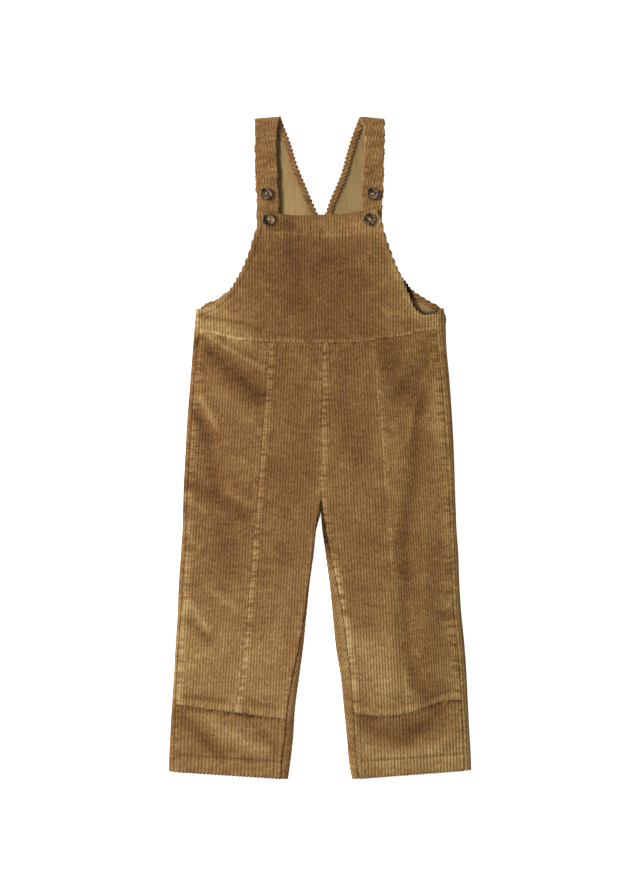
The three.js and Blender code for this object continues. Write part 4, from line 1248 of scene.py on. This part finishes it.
def hem_band(table, low, high, width, turn, ends, seed):
    """A band along an edge. turn is +1 or -1 for the side of the edge that it lies on, and
    ends gives the first two points a direction of their own, or None."""
    curve = smooth(table)
    heights = np.linspace(low, high, round((high - low) / 0.9) + 1)
    x, y = curve(heights), heights
    dx, dy = np.gradient(x), np.gradient(y)
    length = np.hypot(dx, dy)
    normal = np.stack([-turn * dy / length, turn * dx / length], axis=1)
    if ends is not None:
        blend = np.exp(-((heights - low) / 2.5))[:, None]
        normal = normal * (1 - blend) + np.array(ends) * blend
    columns = 16
    reach = (GAP / 2 + (width - GAP / 2) * np.linspace(0, 1, columns + 1))[None, :]
    px = x[:, None] + normal[:, :1] * reach
    py = y[:, None] + normal[:, 1:] * reach
    slope = np.mean(dx / dy)
    lean = math.atan(slope) + math.copysign(HEM_SLANT, slope)
    number = (px * math.cos(lean) - py * math.sin(lean) + 0.7 * waver(py, px)) / WALE_PITCH
    rim = np.minimum(reach - GAP / 2, width - reach)
    round_off = -0.8 * np.exp(-(rim / 0.7) ** 2)
    z = HEM_UNDER + HEM_CLOTH - 0.3 + round_off + 0 * px
    z = z + 0.12 * unevenness(seed, 3.0)(py, 0.2 * px)
    ridges = wale_height(number)
    bumps = puffs_along(seed + 10, 2.6, py, px)
    notch = (0.5 - scallop(number)) * 1.8 * np.exp(-(rim / 2.2) ** 2)
    notch = np.where(reach < width / 2, -notch, notch)
    shown = np.stack([
        px + normal[:, :1] * notch, py + normal[:, 1:] * notch, z + 0.7 * ridges + 0.15 * bumps,
    ], axis=2)
    drawn = 0.9 * np.exp(-(rim / 2.2) ** 2) * np.where(reach < width / 2, 1, -1)
    behind = np.stack([
        px + normal[:, :1] * drawn, py + normal[:, 1:] * drawn, HEM_UNDER + 0 * px,
    ], axis=2)
    # The tone follows the wales and the bumps: painted light on their tops and painted shade between.
    tone = tone_at(px, py) + 0.02 + 0.17 * (ridges / WALE - 0.7) + 0.06 * bumps
    # The right armhole band is darker overall and has a painted shadow of the bib's edge; the left neck
    # band has a painted shadow of the strap.
    if table is BACK_RIGHT:
        tone -= 0.16 + 0.7 * np.exp(-(distance_to(armhole_right, px, py) / 3.2) ** 4)
    if table is NECK_LEFT:
        from_strap = np.maximum(px - smooth(STRAP_LEFT, 2)(py), 0)
        tone -= 0.5 * np.exp(-(from_strap / 4.5) ** 4)
    return wall(shown, behind, number, tone, 4)


BANDS = [
    ("neck_hem_left", NECK_LEFT, 238.3, 344.4, NECK_HEM, 1, (0, -1.15)),
    ("neck_hem_right", NECK_RIGHT, 238.3, 344.4, NECK_HEM, -1, (0, -1.15)),
    ("armhole_hem_left", BACK_LEFT, 150.2, 164.4, ARMHOLE_HEM, -1, None),
    ("armhole_hem_right", BACK_RIGHT, 150.2, 194.0, ARMHOLE_HEM, 1, None),
]
for k, (name, table, low, high, width, turn, ends) in enumerate(BANDS):
    band = hem_band(table, low, high, width, turn, ends, 600 + k)
    made[name] = cloth_piece(name, [band])

# %% [markdown]
# ## Buttons
#
# The four buttons are turned from dark horn: a rounded rim, a shallow dish and four holes.
# One is modelled by hand from a disc. Insets make the rim and the dish, a bevel softens them,
# and a Boolean drills the holes. Thread crosses the dish from hole to hole.

# %% Model one button
BUTTON_RADIUS = 6.5
HOLE_OFFSET = 1.5
HOLE_RADIUS = 0.8


def select_faces(piece, keep):
    """In edit mode, selects the faces that keep accepts."""
    bpy.ops.mesh.select_all(action="DESELECT")
    bpy.ops.object.mode_set(mode="OBJECT")
    for face in piece.data.polygons:
        face.select = keep(face)
    bpy.ops.object.mode_set(mode="EDIT")


def start_cylinder(name, radius, depth, place, sides):
    deselect_all()
    bpy.ops.mesh.primitive_cylinder_add(
        vertices=sides, radius=radius * MM, depth=depth * MM,
        location=[value * MM for value in place],
    )
    piece = bpy.context.object
    piece.name = name
    bpy.ops.object.transform_apply(location=True, rotation=True, scale=True)
    return piece


def turned_button():
    button = start_cylinder("button", BUTTON_RADIUS, 1.9, (0, 0, 1.25), 56)
    bpy.ops.object.mode_set(mode="EDIT")
    bpy.ops.mesh.select_mode(type="FACE")
    select_faces(button, lambda face: face.normal.z > 0.9)
    for width, fall in ((0.35, -0.35), (0.75, 0.0), (0.55, 0.55), (0.9, 0.45), (1.4, 0.22)):
        bpy.ops.mesh.inset(thickness=width * MM)
        bpy.ops.transform.translate(value=(0, 0, -fall * MM))
    select_faces(button, lambda face: face.normal.z < -0.9)
    bpy.ops.mesh.inset(thickness=2.2 * MM)
    bpy.ops.transform.translate(value=(0, 0, -0.1 * MM))
    bpy.ops.object.mode_set(mode="OBJECT")
    bevel = button.modifiers.new("soft_rim", "BEVEL")
    bevel.width = 0.28 * MM
    bevel.segments = 3
    bevel.limit_method = "ANGLE"
    bevel.angle_limit = math.radians(24)
    bpy.ops.object.modifier_apply(modifier=bevel.name)
    for k in range(4):
        angle = math.radians(45 + 90 * k)
        spot = (HOLE_OFFSET * math.cos(angle), HOLE_OFFSET * math.sin(angle), 1.0)
        drill = start_cylinder("drill", HOLE_RADIUS, 5, spot, 20)
        bpy.context.view_layer.objects.active = button
        cut = button.modifiers.new("hole", "BOOLEAN")
        cut.object = drill
        cut.operation = "DIFFERENCE"
        bpy.ops.object.modifier_apply(modifier=cut.name)
        bpy.data.objects.remove(drill)
    deselect_all()
    button.select_set(True)
    bpy.context.view_layer.objects.active = button
    bpy.ops.object.shade_smooth_by_angle(angle=math.radians(35))
    return button


button = turned_button()
print("button faces", len(button.data.polygons))


# %% [markdown]
# Horn is dark and polished, with paler brown streaks that run across it. A wave texture with
# much distortion draws the streaks, and a clear coat gives the polish.

# %% Horn
def horn():
    material, tree, links, shader, place = start_look("dark_horn")
    streaks = add_node(
        tree, "ShaderNodeTexWave", Scale=55.0, Distortion=9.0, bands_direction="DIAGONAL",
    )
    streaks.inputs["Detail"].default_value = 3.0
    links.new(place, streaks.inputs["Vector"])
    colours = colour_ramp(tree, [
        (0.0, srgb(40, 28, 17)), (0.55, srgb(68, 52, 33)), (1.0, srgb(112, 89, 58)),
    ])
    links.new(streaks.outputs["Fac"], colours.inputs["Fac"])
    links.new(colours.outputs["Color"], shader.inputs["Base Color"])
    scratches = add_node(tree, "ShaderNodeTexNoise", Scale=400.0, Detail=4.0)
    links.new(place, scratches.inputs["Vector"])
    rough = add_node(tree, "ShaderNodeMapRange")
    rough.inputs["To Min"].default_value = 0.4
    rough.inputs["To Max"].default_value = 0.6
    links.new(scratches.outputs["Fac"], rough.inputs["Value"])
    links.new(rough.outputs[0], shader.inputs["Roughness"])
    shader.inputs["Specular IOR Level"].default_value = 0.25
    shader.inputs["Coat Weight"].default_value = 0.15
    shader.inputs["Coat Roughness"].default_value = 0.2
    return material


horn_look = horn()


def thread_material(name, light, dark):
    material, tree, links, shader, place = start_look(name)
    twist = add_node(tree, "ShaderNodeTexNoise", Scale=1500.0, Detail=2.0)
    links.new(place, twist.inputs["Vector"])
    colours = colour_ramp(tree, [(0.35, dark), (0.65, light)])
    links.new(twist.outputs["Fac"], colours.inputs["Fac"])
    links.new(colours.outputs["Color"], shader.inputs["Base Color"])
    add_relief(tree, shader, twist.outputs["Fac"], 0.4, 0.0002)
    shader.inputs["Roughness"].default_value = 0.7
    shader.inputs["Specular IOR Level"].default_value = 0.15
    return material


thread_look = thread_material("brown_thread", srgb(174, 138, 94), srgb(136, 102, 62))
pale_thread_look = thread_material("pale_thread", srgb(226, 208, 176), srgb(182, 158, 120))

# %% Place the four buttons with their thread
BUTTON_PLACES = {
    "strap_button_left": (-56.5, 267.9, STRAP_TOP + 0.65),
    "bib_button_left": (-53.8, 240.5, BIB_OVER_STRAP + 0.65),
    "strap_button_right": (55.6, 267.9, STRAP_TOP + 0.65),
    "bib_button_right": (52.3, 240.5, BIB_OVER_STRAP + 0.65),
}
button.data.materials.append(horn_look)


def copy_piece(source, name, place, turn=0.0):
    """A copy with its own mesh, turned about Z and moved, its place in its mesh."""
    copy = bpy.data.objects.new(name, source.data.copy())
    bpy.context.scene.collection.objects.link(copy)
    deselect_all()
    copy.select_set(True)
    bpy.context.view_layer.objects.active = copy
    copy.rotation_euler.z = turn
    copy.location = [value * MM for value in place]
    bpy.ops.object.transform_apply(location=True, rotation=True, scale=False)
    return copy


def stitch_bar(name, length, radius, place, turn, look):
    """A short round bar of thread with rounded ends, lying along X before it is turned."""
    bar = start_cylinder(name, radius, length, (0, 0, 0), 10)
    bpy.ops.object.mode_set(mode="EDIT")
    bpy.ops.mesh.select_all(action="SELECT")
    bpy.ops.mesh.bevel(offset=radius * 0.45 * MM, segments=2)
    bpy.ops.object.mode_set(mode="OBJECT")
    bar.rotation_euler.y = math.pi / 2
    bpy.ops.object.transform_apply(location=False, rotation=True, scale=False)
    bar.rotation_euler.z = turn
    bar.location = [value * MM for value in place]
    bpy.ops.object.transform_apply(location=True, rotation=True, scale=False)
    bpy.ops.object.shade_smooth_by_angle(angle=math.radians(50))
    bar.data.materials.append(look)
    return bar


for k, (name, (x, y, z)) in enumerate(BUTTON_PLACES.items()):
    disc = copy_piece(button, name + "_disc", (x, y, z), 0.3 * k)
    made[name] = disc
    for half, turn in ((1, 0.3 * k), (2, 0.3 * k + math.pi / 2)):
        spot = (x, y, z + 1.2)
        made[f"{name}_thread_{half}"] = stitch_bar(
            f"{name}_thread_{half}", 2.3, 0.45, spot, turn + math.pi / 4, pale_thread_look,
        )
bpy.data.objects.remove(button)

# %% [markdown]
# ## Rows of stitches
#
# The hems are held by machine stitches of matching thread, about 3 mm long. One stitch is a
# short bar with rounded ends. It is copied along each line, following the line's direction
# and the cloth's height, and each row becomes one mesh.

# %% Stitch rows
STITCH = 2.3
STITCH_SPACING = 3.1
STITCH_THICKNESS = 0.24


def stitch_template():
    bar = start_cylinder("stitch", STITCH_THICKNESS, STITCH, (0, 0, 0), 6)
    bar.rotation_euler.y = math.pi / 2
    bpy.ops.object.transform_apply(location=False, rotation=True, scale=False)
    points = np.array([v.co for v in bar.data.vertices]) / MM
    faces = [list(face.vertices) for face in bar.data.polygons]
    bpy.data.objects.remove(bar)
    points[:, 1:] *= 1 - 0.45 * (np.abs(points[:, :1]) > STITCH / 2 - 0.1)
    return points, faces


stitch_points, stitch_faces = stitch_template()


def stitch_row(name, line, height_of):
    """Stitches along a line of x and y, on top of the cloth."""
    line = np.array(line, float)
    steps = np.hypot(*np.diff(line, axis=0).T)
    run = np.concatenate([[0], np.cumsum(steps)])
    middles = np.arange(STITCH_SPACING / 2, run[-1], STITCH_SPACING)
    points, faces = [], []
    for k, middle in enumerate(middles):
        ends = [[np.interp(middle + d, run, line[:, c]) for c in (0, 1)] for d in (-0.8, 0.8)]
        (x1, y1), (x2, y2) = ends
        turn = math.atan2(y2 - y1, x2 - x1) + 0.05 * math.sin(7.1 * k)
        x, y = (x1 + x2) / 2, (y1 + y2) / 2
        cos, sin = math.cos(turn), math.sin(turn)
        placed = stitch_points @ np.array([[cos, sin, 0], [-sin, cos, 0], [0, 0, 1]])
        placed += (x, y, float(height_of(np.array([[x]]), np.array([[y]]))[0, 0]))
        faces += [[index + k * len(stitch_points) for index in face] for face in stitch_faces]
        points.append(placed)
    print(name, "stitches", len(middles))
    return smooth_piece(name, np.concatenate(points), faces, [thread_look], 50)


def inward(line, distance):
    """The same line moved sideways by a distance, to the right of its direction."""
    line = np.array(line, float)
    dx, dy = np.gradient(line[:, 0]), np.gradient(line[:, 1])
    length = np.hypot(dx, dy)
    return np.stack([
        line[:, 0] + distance * dy / length, line[:, 1] - distance * dx / length,
    ], axis=1)


def above(cloth, lift):
    return lambda x, y: cloth(x, y) + lift


top_hem_x = np.linspace(-61, 60, 60)
stitch_lines = {
    "bib_armhole_left": (inward(armhole_left[4:-3], BIB_STITCH), above(bib_cloth, 0.68)),
    "bib_armhole_right": (inward(armhole_right[3:-14], BIB_STITCH), above(bib_cloth, 0.68)),
    "bib_top": (
        np.stack([top_hem_x, bib_top_stitches(top_hem_x)], axis=1), above(bib_cloth, 0.55),
    ),
}
for name, start, end in (("left", -151.5, -44), ("right", 43, 151)):
    hem_x = np.linspace(start, end, 60)
    line = np.stack([hem_x, hem_line(hem_x) + LEG_HEM + 0.2], axis=1)
    stitch_lines[f"leg_hem_{name}"] = (line, above(front_cloth, 0.5))
for name, (line, height_of) in stitch_lines.items():
    made[f"stitches_{name}"] = stitch_row(f"stitches_{name}", line, height_of)

# %% [markdown]
# ## Buttonholes
#
# A buttonhole is a slit with a ring of close stitches round it. Only its inner end looks out
# from under the button. The ring is a torus that is stretched to an oval. The shade in the slit
# is painted: a thin dark bar inside the ring stands in for it.

# %% Buttonholes
# Painted shadow for the slit.
slit_shadow_look = thread_material("slit_shadow", srgb(40, 26, 14), srgb(24, 15, 8))
for name, x, y, turn in (
    ("left", -53.4, 240.0, math.radians(-17)), ("right", 51.2, 240.9, math.radians(16)),
):
    deselect_all()
    bpy.ops.mesh.primitive_torus_add(
        location=(0, 0, 0), major_segments=48, minor_segments=10,
        major_radius=1.3 * MM, minor_radius=0.5 * MM,
    )
    ring = bpy.context.object
    ring.name = f"buttonhole_{name}"
    for vertex in ring.data.vertices:
        vertex.co.x += math.copysign(6.3 * MM, vertex.co.x)
    ring.rotation_euler.z = turn
    ring.location = (x * MM, y * MM, (BIB_OVER_STRAP + 0.5) * MM)
    bpy.ops.object.transform_apply(location=True, rotation=True, scale=True)
    bpy.ops.object.shade_smooth_by_angle(angle=math.radians(60))
    ring.data.materials.append(thread_look)
    made[f"buttonhole_{name}"] = ring
    made[f"buttonhole_slit_{name}"] = stitch_bar(
        f"buttonhole_slit_{name}", 14.4, 0.62, (x, y, BIB_OVER_STRAP + 0.15), turn, slit_shadow_look,
    )

# %% [markdown]
# ## Pieces on the body
#
# Every piece rides on the garment's one body and stands for its solid, which is hidden where the names
# match.

for name, piece in made.items():
    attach(piece, "root")
    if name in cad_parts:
        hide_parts(name)


# %% Sizes
low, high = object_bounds()
